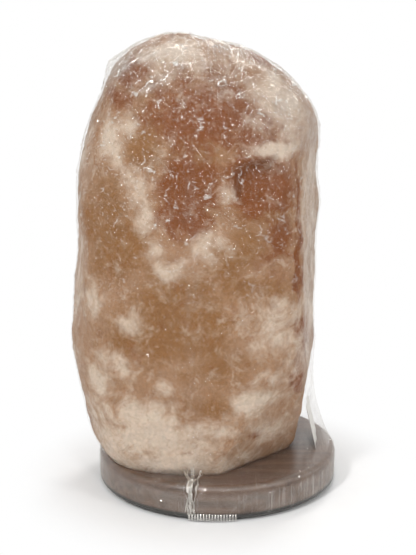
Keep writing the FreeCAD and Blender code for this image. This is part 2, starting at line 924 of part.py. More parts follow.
def make_bulb_contact():
    radius = size("bulb_tip_diameter") / 2
    top = bulb_tip() + size("bulb_tip_height")
    section = [
        (NOTHING, bulb_tip()),
        (radius, bulb_tip()),
        (radius, top),
        (NOTHING, top),
    ]
    return turned("bulb_contact", section)[0]


def make_bulb_insulator():
    low = bulb_tip() + size("bulb_tip_height") + size("fit_gap")
    high = low + size("bulb_insulator_height")
    wide = size("bulb_cap_diameter") / 2 - size("bulb_cap_wall") - size("fit_gap")
    section = [(NOTHING, low), (wide, low), (wide, high), (NOTHING, high)]
    return turned("bulb_insulator", section)[0]


def make_bulb_cap():
    wall = size("bulb_cap_diameter") / 2
    bore = wall - size("bulb_cap_wall")
    bottom = bulb_cap_bottom()
    top = bulb_cap_top()
    section = [(bore, bottom), (wall, bottom), (wall, top), (bore, top)]
    return turned("bulb_cap", section)[0]


def bulb_neck_top():
    """Where the flare starts: over the cap, and high enough to clear the holder body's rim."""
    return most(bulb_cap_top() + size("bulb_wall"), body_top() - size("bulb_flare_sink"))


def make_bulb_glass():
    """The envelope: neck, flare, barrel and bevelled crown, bored straight inside."""
    wall = size("bulb_wall")
    neck = size("bulb_neck") / 2
    wide = size("bulb_diameter") / 2
    foot = bulb_cap_top() - size("bulb_glass_in_cap")
    flare = bulb_neck_top() - wall + size("bulb_shoulder")
    springing = bulb_top() - size("bulb_dome")
    section = [
        (neck, foot),
        (neck, bulb_neck_top()),
        (wide, flare),
        (wide, springing),
        (wide - size("bulb_dome"), bulb_top()),
        (NOTHING, bulb_top()),
        (NOTHING, springing),
        (wide - wall, springing),
        (wide - wall, flare),
        (neck - wall, flare),
        (neck - wall, foot),
    ]
    return turned("bulb_glass", section)[0]


def stem_top():
    return bulb_cap_top() + size("stem_length")


def make_bulb_stem():
    pinch = size("stem_diameter") / 2
    flange = size("bulb_neck") / 2 - size("bulb_wall") - size("fit_gap")
    foot = bulb_cap_top() - size("bulb_glass_in_cap")
    ledge = foot + size("bulb_wall")
    section = [
        (NOTHING, foot),
        (flange, foot),
        (flange, ledge),
        (pinch, ledge),
        (pinch, stem_top()),
        (NOTHING, stem_top()),
    ]
    return turned("bulb_stem", section)[0]


def wire_root():
    return size("stem_diameter") / 2 - size("wire_diameter")


def wire_tip():
    """Where a filament wire ends: outwards and upwards from its root."""
    splay = math.radians(size("wire_splay").value)
    length = size("wire_length")
    return wire_root() + length * math.sin(splay), stem_top() + length * math.cos(splay)


def make_filament_wires():
    wires = []
    for side, label in ((-1, "left_wire"), (1, "right_wire")):
        sizes = {"Circumradius": size("wire_diameter") / 2, "Height": size("wire_length")}
        place = (wire_root() * side, NOTHING, stem_top() + size("fit_gap") * 2)
        wire = primitive("Prism", label, sizes, place)
        tip_over(wire, "y", size("wire_splay") * side)
        wires.append(wire)
    pair = document.addObject("Part::Compound", "filament_wires")
    pair.Label = "filament_wires"
    pair.Links = wires
    return pair


def make_bulb_filament():
    across, height = wire_tip()
    length = across * 2 + size("wire_diameter") * 2
    sizes = {"Circumradius": size("filament_diameter") / 2, "Height": length}
    rise = height + size("filament_diameter") / 2 + size("wire_diameter")
    place = (-across - size("wire_diameter"), NOTHING, rise)
    filament = primitive("Prism", "bulb_filament", sizes, place)
    tip_over(filament, "y", as_size(90))
    return filament


# ---- build, check, write ----


def make_pieces():
    return [
        make_wooden_base(),
        make_foot_pads(),
        make_salt_crystal(),
        make_crystal_screws(),
        make_anchor_plugs(),
        make_shrink_film(),
        make_paper_label(),
        make_inlet_nipple(),
        make_nipple_nut(),
        make_clip_yoke(),
        make_clip_leaf("clip_leaf_left", -1),
        make_clip_leaf("clip_leaf_right", 1),
        make_holder_cap(),
        make_holder_body(),
        make_holder_insert(),
        make_socket_shell(),
        make_centre_contact(),
        make_side_contact(),
        make_terminal_screws(),
        make_bulb_contact(),
        make_bulb_insulator(),
        make_bulb_cap(),
        make_bulb_glass(),
        make_bulb_stem(),
        make_filament_wires(),
        make_bulb_filament(),
    ]


def check_document():
    failed = [item.Name for item in document.Objects if {"Invalid", "Error"} & set(item.State)]
    if failed:
        raise RuntimeError(f"these objects failed: {failed}")


def write_pieces(pieces):
    os.makedirs("parts", exist_ok=True)
    for piece in pieces:
        if piece.Shape.isNull() or not piece.Shape.isValid():
            raise RuntimeError(f"{piece.Label} has no valid shape")
    for piece in pieces:
        piece.Shape.exportStep(f"parts/{piece.Label}.step")


fill_sheet()
made = make_pieces()
document.recompute()
check_document()
write_pieces(made)
for piece in made:
    shape = piece.Shape
    print(f"{piece.Label}: {len(shape.Solids)} solid(s), {shape.Volume / 1000:.3f} cc")
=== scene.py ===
"""Salt crystal lamp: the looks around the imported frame, with one operator for each piece.

The block's skin is worked out as rings of points from its foot to its crown. The salt is carved
from those rings, and the clear film is drawn over them and out to the rim of the base.
"""

import math

import bmesh
import bpy
import numpy as np
from bpy.props import FloatProperty, FloatVectorProperty, PointerProperty
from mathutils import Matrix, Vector, kdtree, noise


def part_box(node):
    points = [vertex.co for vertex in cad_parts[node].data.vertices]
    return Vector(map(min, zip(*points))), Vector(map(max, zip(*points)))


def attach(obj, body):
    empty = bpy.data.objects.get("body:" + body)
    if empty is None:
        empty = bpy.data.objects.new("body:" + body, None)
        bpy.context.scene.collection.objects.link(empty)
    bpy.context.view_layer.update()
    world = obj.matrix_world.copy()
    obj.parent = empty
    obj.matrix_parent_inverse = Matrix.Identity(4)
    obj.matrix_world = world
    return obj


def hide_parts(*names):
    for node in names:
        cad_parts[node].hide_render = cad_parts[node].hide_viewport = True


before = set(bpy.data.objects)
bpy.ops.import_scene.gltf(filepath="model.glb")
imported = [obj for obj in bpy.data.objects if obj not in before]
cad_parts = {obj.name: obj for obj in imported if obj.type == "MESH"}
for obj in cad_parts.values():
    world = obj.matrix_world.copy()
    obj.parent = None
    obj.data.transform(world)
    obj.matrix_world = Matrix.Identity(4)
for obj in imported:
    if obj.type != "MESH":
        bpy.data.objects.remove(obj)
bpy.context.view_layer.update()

bl_info = {
    "name": "Salt Crystal Lamp",
    "version": (1, 0, 0),
    "blender": (4, 5, 0),
    "location": "3D View > Sidebar > Salt Lamp",
    "description": "Makes a rock salt lamp in its wrapping film, piece by piece",
    "category": "Add Mesh",
}

MM = 0.001
ROWS = 230
COLUMNS = 300

# The block's outline in millimetres: height over the table, then its reach to the left, right,
# front and back of the bore's axis.
OUTLINE = (
    (22.0, 67.5, 45.0, 56.0, 50.0),
    (28.0, 74.5, 47.5, 58.5, 53.0),
    (38.6, 80.0, 50.5, 60.5, 57.0),
    (55.0, 83.4, 53.2, 61.7, 59.5),
    (70.0, 85.5, 56.0, 62.0, 61.0),
    (90.0, 88.5, 58.7, 62.3, 62.5),
    (103.0, 87.6, 60.0, 62.5, 63.0),
    (129.0, 86.8, 61.0, 62.0, 63.0),
    (154.0, 84.4, 61.0, 62.0, 63.0),
    (179.0, 83.0, 60.5, 61.0, 61.0),
    (204.0, 81.0, 60.0, 59.5, 59.0),
    (216.0, 79.3, 59.0, 58.5, 58.0),
    (228.0, 75.5, 58.0, 56.0, 55.0),
    (234.0, 72.3, 56.5, 54.5, 53.0),
    (240.0, 68.3, 53.0, 52.5, 50.5),
    (246.0, 65.6, 49.0, 50.0, 47.0),
    (252.0, 63.4, 43.5, 47.0, 43.0),
    (258.0, 60.6, 37.0, 43.5, 39.0),
    (264.0, 56.6, 28.0, 38.5, 34.0),
    (268.0, 52.3, 18.0, 34.0, 30.0),
    (272.0, 46.6, 6.0, 28.0, 24.0),
    (275.0, 40.0, -8.0, 21.0, 17.5),
    (277.2, 32.0, -19.0, 12.0, 9.0),
    (277.9, 26.5, -24.5, 3.0, 0.0),
)
SQUARENESS = 2.6

# The block's broad faces: the way each looks in degrees, its distance from the bore's axis at
# the foot, and how much further out it stands for each millimetre of height.
BROAD_FACES = ((-14.0, 58.5, 0.0), (118.0, 66.0, 0.0), (-45.0, 41.0, 0.364))

# The block's broad facets: the corners of its outline wander in and out by this many millimetres,
# on a wave that steps on from corner to corner and from level to level.
CORNERS = 20
FACET_DEPTH = 1.5
FACET_STEP = 2.4
FACET_RISE = 2.3
LEVEL_HEIGHTS = (22, 34, 60, 82, 105, 150, 176, 200, 218, 235, 258, 268, 277)

# Minerals on the front of the block: centre across and up, half width, half height and strength.
MINERALS = {
    "rust": (
        (-2, 236, 27, 14, 1.5), (-16, 250, 13, 6, 0.8), (-46, 259, 8, 9, 1.1), (-56, 243, 8, 8, 1.0),
        # The first two zones on the next line lie on the hollow in the upper front: their iron colour is made
        # strong there partly as painted shade in the hollow.
        (23, 199, 13, 13, 2.6), (12, 203, 5, 12, 1.3), (-15, 197, 13, 11, 1.8), (-17, 183, 11, 9, 1.8),
        # The thin tall zone at 47.6 across, and the three zones near 50 across, darken the edge where the
        # front turns to the sawn side: painted shade along that edge, in the rust colour.
        (36, 167, 8, 12, 1.0), (15, 222, 15, 7, 1.0), (52, 105, 4, 8, 2.4), (52, 91, 4, 9, 2.4),
        (50, 77, 4, 8, 2.4), (47.6, 150, 1.2, 50, 1.3), (-38, 27, 6, 3, 1.4),
        (21, 46, 2.6, 1.1, 2.2), (8, 236, 10, 20, 0.7),
    ),
    "amber": (
        (-24, 129, 21, 11, 1.3), (-57, 160, 13, 15, 1.1), (9, 154, 13, 10, 0.9), (-34, 110, 22, 12, 1.1),
        (-2, 116, 12, 10, 1.1), (-62, 185, 8, 11, 1.0), (-40, 223, 9, 12, 1.0), (-14, 217, 14, 8, 0.8),
        (14, 141, 9, 9, 0.9), (-13, 103, 18, 8, 0.9), (0, 89, 18, 9, 0.8), (-8, 65, 15, 7, 0.7),
        (-51, 103, 9, 9, 0.9), (-72, 172, 6, 12, 0.9), (33, 133, 12, 9, 0.7), (25, 180, 12, 8, 0.8),
    ),
    "milk": (
        (40, 249, 15, 20, 1.25), (20, 268, 14, 6, 1.1), (-24, 269, 16, 8, 1.3), (-29, 255, 8, 4, 0.8),
        (-62, 218, 10, 10, 0.95), (-51, 229, 6, 7, 0.6), (-46, 199, 9, 8, 0.8), (-40, 180, 5, 9, 0.9),
        (-34, 158, 6, 7, 0.85), (-29, 147, 6, 8, 0.95), (-7, 164, 9, 9, 0.95), (-18, 154, 7, 4, 0.75),
        (2, 191, 5, 6, 0.45), (32, 214, 12, 2.8, 1.6), (-73, 128, 6, 9, 1.1), (-51, 116, 8, 6, 0.75),
        (32, 114, 19, 17, 0.8), (47, 92, 6, 20, 0.7), (-62, 91, 10, 7, 0.85), (-73, 78, 6, 8, 1.1),
        (20, 68, 13, 9, 1.15), (-49, 59, 22, 12, 1.05), (-43, 46, 33, 14, 1.3), (-14, 38, 20, 8, 0.9),
        (32, 78, 12, 7, 0.7), (3, 50, 14, 6, 0.75), (-29, 78, 9, 4, 0.7), (30, 42, 16, 9, 0.8),
        (-30, 28, 40, 8, 1.2),
    ),
}

# Minerals on the block's other sides: the seed of their noise, and how far it is raised.
WILD = {"rust": (21.0, -0.2), "amber": (34.0, 0.1), "milk": (47.0, 0.0)}

# Sizes that the solids set, in millimetres: heights over the table, and reaches from the axis.
DETAIL = {
    "foot": 22.0,
    "bore": 25.0,
    "bore_end": 131.0,
    "rim": 75.0,
    "rim_round": 4.0,
    "underside": 2.5,
}


# ---- sizes and colours that a user would change ----


def colour(name, description, default):
    return FloatVectorProperty(
        name=name, description=description, default=(*default, 1.0), size=4, min=0.0, max=1.0,
        subtype="COLOR",
    )


def distance(name, description, default):
    return FloatProperty(name=name, description=description, default=default, unit="LENGTH")


def amount(name, description, default, top=1.0):
    return FloatProperty(name=name, description=description, default=default, min=0.0, max=top)


class SaltSizes(bpy.types.PropertyGroup):
    """How the block of salt is hewn and coloured."""

    hewing: distance("Hewing", "Depth of the hewn scoops", 0.0008)
    lumps: distance("Lumps", "Height of the lumps between them", 0.0007)
    grain: distance("Grain", "Height of the salt's grain", 0.0004)
    hollow: distance("Hollow", "Depth of the hollow in the upper front", 0.0078)
    blush: colour("Blush", "The salt where nothing stains it", (0.33, 0.19, 0.108))
    amber: colour("Amber", "The salt in its honey zones", (0.245, 0.115, 0.041))
    rust: colour("Rust", "The salt in its iron zones", (0.19, 0.058, 0.013))
    milk: colour("Milk", "The salt in its cloudy zones", (0.60, 0.49, 0.39))


class FilmSizes(bpy.types.PropertyGroup):
    """How the wrapping film lies."""

    gap: distance("Gap", "Least distance between the film and the salt", 0.0005)
    wrinkles: distance("Wrinkles", "Height of the film's wrinkles", 0.0011)
    pleats: distance("Pleats", "Height of the pleats gathered near the top", 0.0019)
    veil: amount("Veil", "How much the film clouds what lies behind it", 0.014)
    gloss: amount("Gloss", "Roughness of the film", 0.05)


class BaseSizes(bpy.types.PropertyGroup):
    """The turned base, its pads and the label."""

    wood: colour("Wood", "Dark stained wood", (0.145, 0.08, 0.049))
    grain: colour("Grain", "The wood's darker grain", (0.062, 0.033, 0.019))
    rubber: colour("Rubber", "The foot pads", (0.03, 0.03, 0.03))
    paper: colour("Paper", "The blank label", (0.82, 0.80, 0.76))
    channel: distance("Channel", "Width of the cord's channel", 0.009)


class StageSizes(bpy.types.PropertyGroup):
    """The floor, the lights and the camera."""

    floor: colour("Floor", "The pale floor", (0.93, 0.93, 0.925))
    key: amount("Key", "Power of the main lamp in watts", 9.0, 100.0)
    fill: amount("Fill", "Power of the lamp on the other side in watts", 3.0, 100.0)
    back: amount("Back", "Power of the lamp behind in watts", 5.0, 100.0)
    window: amount("Window", "Power of the small lamp in front in watts", 2.5, 100.0)
    daylight: amount("Daylight", "Strength of the light from all round", 0.5, 4.0)


# ---- small helpers ----


def noise_at(points, scale, seed=0.0):
    """Smooth noise from -1 to 1 at points in millimetres, with features of about this size."""
    shift = np.array((seed, -seed * 1.7, seed * 0.6))
    flat = (np.asarray(points).reshape(-1, 3) / scale + shift).tolist()
    values = np.array([noise.noise(place) for place in flat])
    return values.reshape(np.shape(points)[:-1])


def ridges_at(points, scale, seed, power):
    """Narrow crests from 0 to 1 where the noise passes through nothing."""
    return np.clip(1 - np.abs(noise_at(points, scale, seed)) * 3, 0, 1) ** power


def step_up(values, low, high):
    """0 below low, 1 above high, and smooth between them."""
    share = np.clip((np.asarray(values) - low) / (high - low), 0, 1)
    return share * share * (3 - 2 * share)


def hump(values, middle, width):
    """1 at the middle, and less and less to both sides of it."""
    return np.exp(-(((values - middle) / width) ** 2))


def around_axis(radius, way, height):
    """Points at a distance from the upright axis, a way round it and a height."""
    across, deep = radius * np.cos(way), radius * np.sin(way)
    return np.stack(np.broadcast_arrays(across, deep, height), axis=-1)


def blurred(grid, passes):
    """A grid of rings blurred round the rings and along them."""
    for _ in range(passes):
        grid = (np.roll(grid, 1, 1) + grid * 2 + np.roll(grid, -1, 1)) / 4
        padded = np.concatenate([grid[:1], grid, grid[-1:]])
        grid = (padded[:-2] + padded[1:-1] * 2 + padded[2:]) / 4
    return grid


def spread(grid, cells):
    """The highest value within this many cells, round the rings and along them."""
    wide = np.max([np.roll(grid, k, 1) for k in range(-cells, cells + 1)], axis=0)
    padded = np.pad(wide, ((cells, cells), (0, 0)), mode="edge")
    return np.max([padded[k : k + len(grid)] for k in range(2 * cells + 1)], axis=0)


def normals_of(rings):
    """Outward normals of a surface given as rings of points."""
    around = np.roll(rings, -1, 1) - np.roll(rings, 1, 1)
    up = np.gradient(rings, axis=0)
    cross = np.cross(around, up)
    return cross / np.maximum(np.linalg.norm(cross, axis=2, keepdims=True), 1e-9)


def ring_mesh(name, rings, close_low=False, close_high=False, wrap=True):
    """A mesh object of rings of points in millimetres, joined ring to ring."""
    rows, columns = rings.shape[:2]
    index = np.arange(rows * columns).reshape(rows, columns)
    low, high = index[:-1], index[1:]
    quads = np.stack([low, np.roll(low, -1, 1), np.roll(high, -1, 1), high], axis=2)
    if not wrap:
        quads = quads[:, :-1]
    faces = quads.reshape(-1, 4).tolist()
    points = list(rings.reshape(-1, 3) * MM)
    if close_low:
        middle = len(points)
        points.append(rings[0].mean(0) * MM)
        faces += [(middle, b, a) for a, b in zip(index[0], np.roll(index[0], -1))]
    if close_high:
        middle = len(points)
        points.append(rings[-1].mean(0) * MM)
        faces += [(a, b, middle) for a, b in zip(index[-1], np.roll(index[-1], -1))]
    mesh = bpy.data.meshes.new(name)
    mesh.from_pydata(np.array(points).tolist(), [], [tuple(int(i) for i in face) for face in faces])
    mesh.validate()
    mesh.shade_smooth()
    obj = bpy.data.objects.new(name, mesh)
    bpy.context.scene.collection.objects.link(obj)
    return obj


def turned_rings(profile, columns=160):
    """Rings of points from a profile of (radius, height) pairs in millimetres."""
    angles = np.linspace(0, 2 * math.pi, columns, endpoint=False)
    radius, height = np.array(profile, float).T[..., None]
    return around_axis(radius, angles, height)


def rounded(corner, radius, start, end, steps=8):
    """Points along a rounded corner of a profile, from one angle in degrees to another."""
    angles = np.radians(np.linspace(start, end, steps))
    return [(corner[0] + radius * math.cos(a), corner[1] + radius * math.sin(a)) for a in angles]


def set_mask(obj, name, values):
    """Keep one number for each point on a mesh, for its material to read."""
    mask = obj.data.attributes.new(name, "FLOAT", "POINT")
    filled = np.zeros(len(obj.data.vertices), np.float32)
    filled[: values.size] = values.ravel()
    mask.data.foreach_set("value", filled)


def dress(obj, material, body, slot, *nodes):
    """Give a piece its material, and say what it rides on and what it stands for."""
    obj.data.materials.clear()
    obj.data.materials.append(material)
    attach(obj, body)
    if nodes:
        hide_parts(*nodes)
    return obj


def joined(name, pieces):
    """One mesh object of several, with their masks."""
    mesh = bmesh.new()
    for piece in pieces:
        mesh.from_mesh(piece.data)
        bpy.data.objects.remove(piece)
    data = bpy.data.meshes.new(name)
    mesh.to_mesh(data)
    mesh.free()
    data.shade_smooth()
    obj = bpy.data.objects.new(name, data)
    bpy.context.scene.collection.objects.link(obj)
    return obj


def crease(place, start, end, width):
    """A fold on the front along a line from one (across, up) to another: 1 there, 0 further off."""
    start, end = np.array(start), np.array(end)
    line = end - start
    flat = place[..., (0, 2)]
    share = np.clip(((flat - start) @ line) / (line @ line), 0, 1)
    far = np.linalg.norm(flat - (start + share[..., None] * line), axis=2)
    return hump(far, 0.0, width) * (place[..., 1] < 0)


def weld(obj):
    """Join the points of a mesh that lie on each other."""
    mesh = bmesh.new()
    mesh.from_mesh(obj.data)
    bmesh.ops.remove_doubles(mesh, verts=mesh.verts, dist=1e-6)
    bmesh.ops.recalc_face_normals(mesh, faces=mesh.faces)
    mesh.to_mesh(obj.data)
    mesh.free()


def apply_modifiers(obj):
    """Put the modifiers' result in the mesh, and take the modifiers off."""
    view = bpy.context.evaluated_depsgraph_get()
    result = bpy.data.meshes.new_from_object(obj.evaluated_get(view))
    obj.modifiers.clear()
    obj.data = result
    if not result.polygons:
        raise RuntimeError(f"{obj.name} has no faces left")
    obj.data.shade_smooth()


# ---- materials ----


def add(tree, kind, links=None, **settings):
    """Add a shader node, set it, and feed its inputs with values or with other nodes' outputs."""
    node = tree.nodes.new(kind)
    for key, value in settings.items():
        setattr(node, key, value)
    for key, value in (links or {}).items():
        if isinstance(value, bpy.types.NodeSocket):
            tree.links.new(value, node.inputs[key])
        else:
            node.inputs[key].default_value = value
    return node


def math_node(tree, operation, one, other=0.0, clamp=False):
    node = add(tree, "ShaderNodeMath", {0: one, 1: other}, operation=operation, use_clamp=clamp)
    return node.outputs[0]


def mix_colour(tree, share, one, other):
    return add(tree, "ShaderNodeMix", {0: share, 6: one, 7: other}, data_type="RGBA").outputs[2]


def ranged(tree, value, low, high, start=0.0, end=1.0):
    """From start, where a value is low or less, to end, where it is high or more."""
    links = {"Value": value, "From Min": low, "From Max": high, "To Min": start, "To Max": end}
    return add(tree, "ShaderNodeMapRange", links).outputs["Result"]


def mask_of(tree, name):
    return add(tree, "ShaderNodeAttribute", attribute_name=name).outputs["Fac"]


def place_of(tree):
    return add(tree, "ShaderNodeTexCoord").outputs["Object"]


def new_group(name, inputs, outputs):
    """A shader node group with named sockets; returns its tree, input node and output node."""
    group = bpy.data.node_groups.new(name, "ShaderNodeTree")
    for label, kind, default in inputs:
        socket = group.interface.new_socket(label, in_out="INPUT", socket_type=kind)
        socket.default_value = default
    for label, kind in outputs:
        group.interface.new_socket(label, in_out="OUTPUT", socket_type=kind)
    return group, group.nodes.new("NodeGroupInput"), group.nodes.new("NodeGroupOutput")


def place_group(tree, group, links):
    """A node group's node in a tree, with its inputs fed."""
    return add(tree, "ShaderNodeGroup", links, node_tree=group)


def ragged_mask_group():
    """Breaks a soft mask up into ragged patches."""
    name = "Ragged mask"
    if name in bpy.data.node_groups:
        return bpy.data.node_groups[name]
    sockets = (
        ("Mask", "NodeSocketFloat", 0.0), ("Scale", "NodeSocketFloat", 60.0),
        ("Raggedness", "NodeSocketFloat", 0.5), ("Edge", "NodeSocketFloat", 0.5),
        ("Softness", "NodeSocketFloat", 0.2), ("Seed", "NodeSocketFloat", 0.0),
    )
    group, into, out = new_group(name, sockets, (("Mask", "NodeSocketFloat"),))
    cloud = add(
        group, "ShaderNodeTexNoise",
        {"Vector": place_of(group), "W": into.outputs["Seed"], "Scale": into.outputs["Scale"],
         "Detail": 8.0, "Roughness": 0.68, "Distortion": 0.6},
        noise_dimensions="4D",
    )
    centred = math_node(group, "SUBTRACT", cloud.outputs["Fac"], 0.5)
    torn = math_node(group, "MULTIPLY", centred, into.outputs["Raggedness"])
    value = math_node(group, "ADD", into.outputs["Mask"], torn)
    low = math_node(group, "SUBTRACT", into.outputs["Edge"], into.outputs["Softness"])
    high = math_node(group, "ADD", into.outputs["Edge"], into.outputs["Softness"])
    ramp = add(
        group, "ShaderNodeMapRange", {"Value": value, "From Min": low, "From Max": high},
        interpolation_type="SMOOTHSTEP",
    )
    group.links.new(ramp.outputs["Result"], out.inputs["Mask"])
    return group


def grain_group():
    """Fine grain for a Bump node: a noise with small cells in it."""
    name = "Fine grain"
    if name in bpy.data.node_groups:
        return bpy.data.node_groups[name]
    sockets = (
        ("Scale", "NodeSocketFloat", 400.0), ("Cells", "NodeSocketFloat", 0.5),
        ("Stretch", "NodeSocketVector", (1.0, 1.0, 1.0)),
    )
    outputs = (("Height", "NodeSocketFloat"), ("Speckle", "NodeSocketFloat"))
    group, into, out = new_group(name, sockets, outputs)
    place = add(
        group, "ShaderNodeVectorMath", {0: place_of(group), 1: into.outputs["Stretch"]},
        operation="MULTIPLY",
    ).outputs[0]
    cloud = add(
        group, "ShaderNodeTexNoise",
        {"Vector": place, "Scale": into.outputs["Scale"], "Detail": 5.0, "Roughness": 0.6},
    )
    cells = add(group, "ShaderNodeTexVoronoi", {"Vector": place, "Scale": into.outputs["Scale"]})
    share = math_node(group, "MULTIPLY", cells.outputs["Distance"], into.outputs["Cells"])
    height = math_node(group, "ADD", cloud.outputs["Fac"], share)
    group.links.new(height, out.inputs["Height"])
    group.links.new(cells.outputs["Color"], out.inputs["Speckle"])
    return group


def crease_group():
    """Creases of thin film: a height for a Bump node, the line of each crest, and painted glinting strokes
    broken along the crests.
    """
    name = "Film creases"
    if name in bpy.data.node_groups:
        return bpy.data.node_groups[name]
    sockets = (("Scale", "NodeSocketFloat", 60.0), ("Seed", "NodeSocketFloat", 0.0))
    outputs = (
        ("Height", "NodeSocketFloat"), ("Line", "NodeSocketFloat"), ("Painted glint", "NodeSocketFloat"),
    )
    group, into, out = new_group(name, sockets, outputs)
    cloud = add(
        group, "ShaderNodeTexNoise",
        {"Vector": place_of(group), "W": into.outputs["Seed"], "Scale": into.outputs["Scale"],
         "Detail": 3.0, "Roughness": 0.5, "Distortion": 0.9},
        noise_dimensions="4D",
    )
    broken = add(
        group, "ShaderNodeTexNoise",
        {"Vector": place_of(group), "Scale": math_node(group, "MULTIPLY", into.outputs["Scale"], 1.7),
         "Detail": 1.0},
    )
    apart = ranged(group, broken.outputs["Fac"], 0.60, 0.66)
    away = math_node(group, "ABSOLUTE", math_node(group, "SUBTRACT", cloud.outputs["Fac"], 0.5))
    height, line, core = (ranged(group, away, 0.0, width, 1.0, 0.0) for width in (0.14, 0.012, 0.02))
    group.links.new(height, out.inputs["Height"])
    group.links.new(line, out.inputs["Line"])
    group.links.new(math_node(group, "MULTIPLY", core, apart), out.inputs["Painted glint"])
    return group


def new_material(name):
    """An empty node material with one Principled BSDF; returns it, its tree and the shader."""
    material = bpy.data.materials.new(name)
    material.use_nodes = True
    tree = material.node_tree
    shader = tree.nodes["Principled BSDF"]
    return material, tree, shader


def bump(tree, shader, height, strength, depth):
    node = add(tree, "ShaderNodeBump", {"Height": height, "Strength": strength, "Distance": depth})
    tree.links.new(node.outputs["Normal"], shader.inputs["Normal"])


def plain_finish(name, tint, roughness, metallic=0.0, grain=900.0, relief=0.00005, variation=0.35):
    """A moulded, pressed or turned finish: its colour varies a little, with a fine grain."""
    material, tree, shader = new_material(name)
    fine = place_group(tree, grain_group(), {"Scale": grain})
    patches = place_group(
        tree, ragged_mask_group(), {"Mask": 0.5, "Scale": grain * 0.1, "Softness": 0.4}
    ).outputs["Mask"]
    darker = tuple(channel * (1 - variation) for channel in tint[:3]) + (1.0,)
    tint = (*tint[:3], 1.0)
    blended = mix_colour(tree, patches, darker, tint)
    tree.links.new(blended, shader.inputs["Base Color"])
    shader.inputs["Metallic"].default_value = metallic
    rough = ranged(tree, patches, 0.0, 1.0, roughness * 1.2, roughness * 0.85)
    tree.links.new(rough, shader.inputs["Roughness"])
    bump(tree, shader, fine.outputs["Height"], 0.4, relief)
    return material


def salt_material(sizes):
    """Rock salt: blush, with honey, cloudy and iron zones, specks, and a grain like sugar whose pale flecks
    are partly painted sparkle.
    """
    material, tree, shader = new_material("Rock salt")
    ragged = ragged_mask_group()

    def zone(mask, scale, raggedness, edge, softness, seed):
        links = {"Mask": mask, "Scale": scale, "Raggedness": raggedness, "Edge": edge,
                 "Softness": softness, "Seed": seed}
        return place_group(tree, ragged, links).outputs["Mask"]

    amber = zone(mask_of(tree, "amber"), 45.0, 2.0, 0.42, 0.42, 1.0)
    milk = zone(mask_of(tree, "milk"), 75.0, 3.2, 0.66, 0.6, 4.0)
    rust = zone(mask_of(tree, "rust"), 65.0, 2.6, 0.48, 0.42, 8.0)
    veins = zone(0.0, 110.0, 8.0, 0.9, 0.6, 13.0)
    flecks = zone(0.0, 480.0, 8.0, 0.9, 0.5, 17.0)
    rust_flecks = zone(0.0, 260.0, 7.0, 0.95, 0.4, 23.0)

    tint = mix_colour(tree, amber, tuple(sizes.blush), tuple(sizes.amber))
    tint = mix_colour(tree, rust, tint, tuple(sizes.rust))
    faint = math_node(tree, "MULTIPLY", veins, 0.42)
    tint = mix_colour(tree, faint, tint, tuple(sizes.milk))
    tint = mix_colour(tree, math_node(tree, "MULTIPLY", milk, 0.92), tint, tuple(sizes.milk))
    # Pale flecks in the milk colour, stronger in the rust zones: partly the salt's own white grains, partly
    # painted sparkle for crystal faces catching the light.
    grain_and_sparkle = math_node(tree, "ADD", math_node(tree, "MULTIPLY", rust, 0.25), 0.22)
    tint = mix_colour(tree, math_node(tree, "MULTIPLY", flecks, grain_and_sparkle), tint, tuple(sizes.milk))
    tint = mix_colour(tree, math_node(tree, "MULTIPLY", rust_flecks, 0.4), tint, tuple(sizes.rust))
    crystals = place_group(tree, grain_group(), {"Scale": 620.0})
    level = ranged(tree, crystals.outputs["Speckle"], 0.0, 1.0, 0.9, 1.1)
    tint = add(tree, "ShaderNodeVectorMath", {0: tint, "Scale": level}, operation="SCALE").outputs[0]
    tree.links.new(tint, shader.inputs["Base Color"])

    tree.links.new(ranged(tree, flecks, 0.0, 1.0, 0.5, 0.28), shader.inputs["Roughness"])
    shader.inputs["IOR"].default_value = 1.54
    shader.inputs["Specular IOR Level"].default_value = 0.12
    shader.inputs["Subsurface Weight"].default_value = 0.25
    shader.inputs["Subsurface Radius"].default_value = (1.0, 0.55, 0.35)
    shader.inputs["Subsurface Scale"].default_value = 0.006
    grain = place_group(tree, grain_group(), {"Scale": 420.0, "Cells": 0.4}).outputs["Height"]
    knobs = place_group(tree, grain_group(), {"Scale": 75.0, "Cells": 0.7}).outputs["Height"]
    height = math_node(tree, "ADD", math_node(tree, "MULTIPLY", grain, 0.10), knobs)
    bump(tree, shader, height, 0.8, 0.0018)
    return material


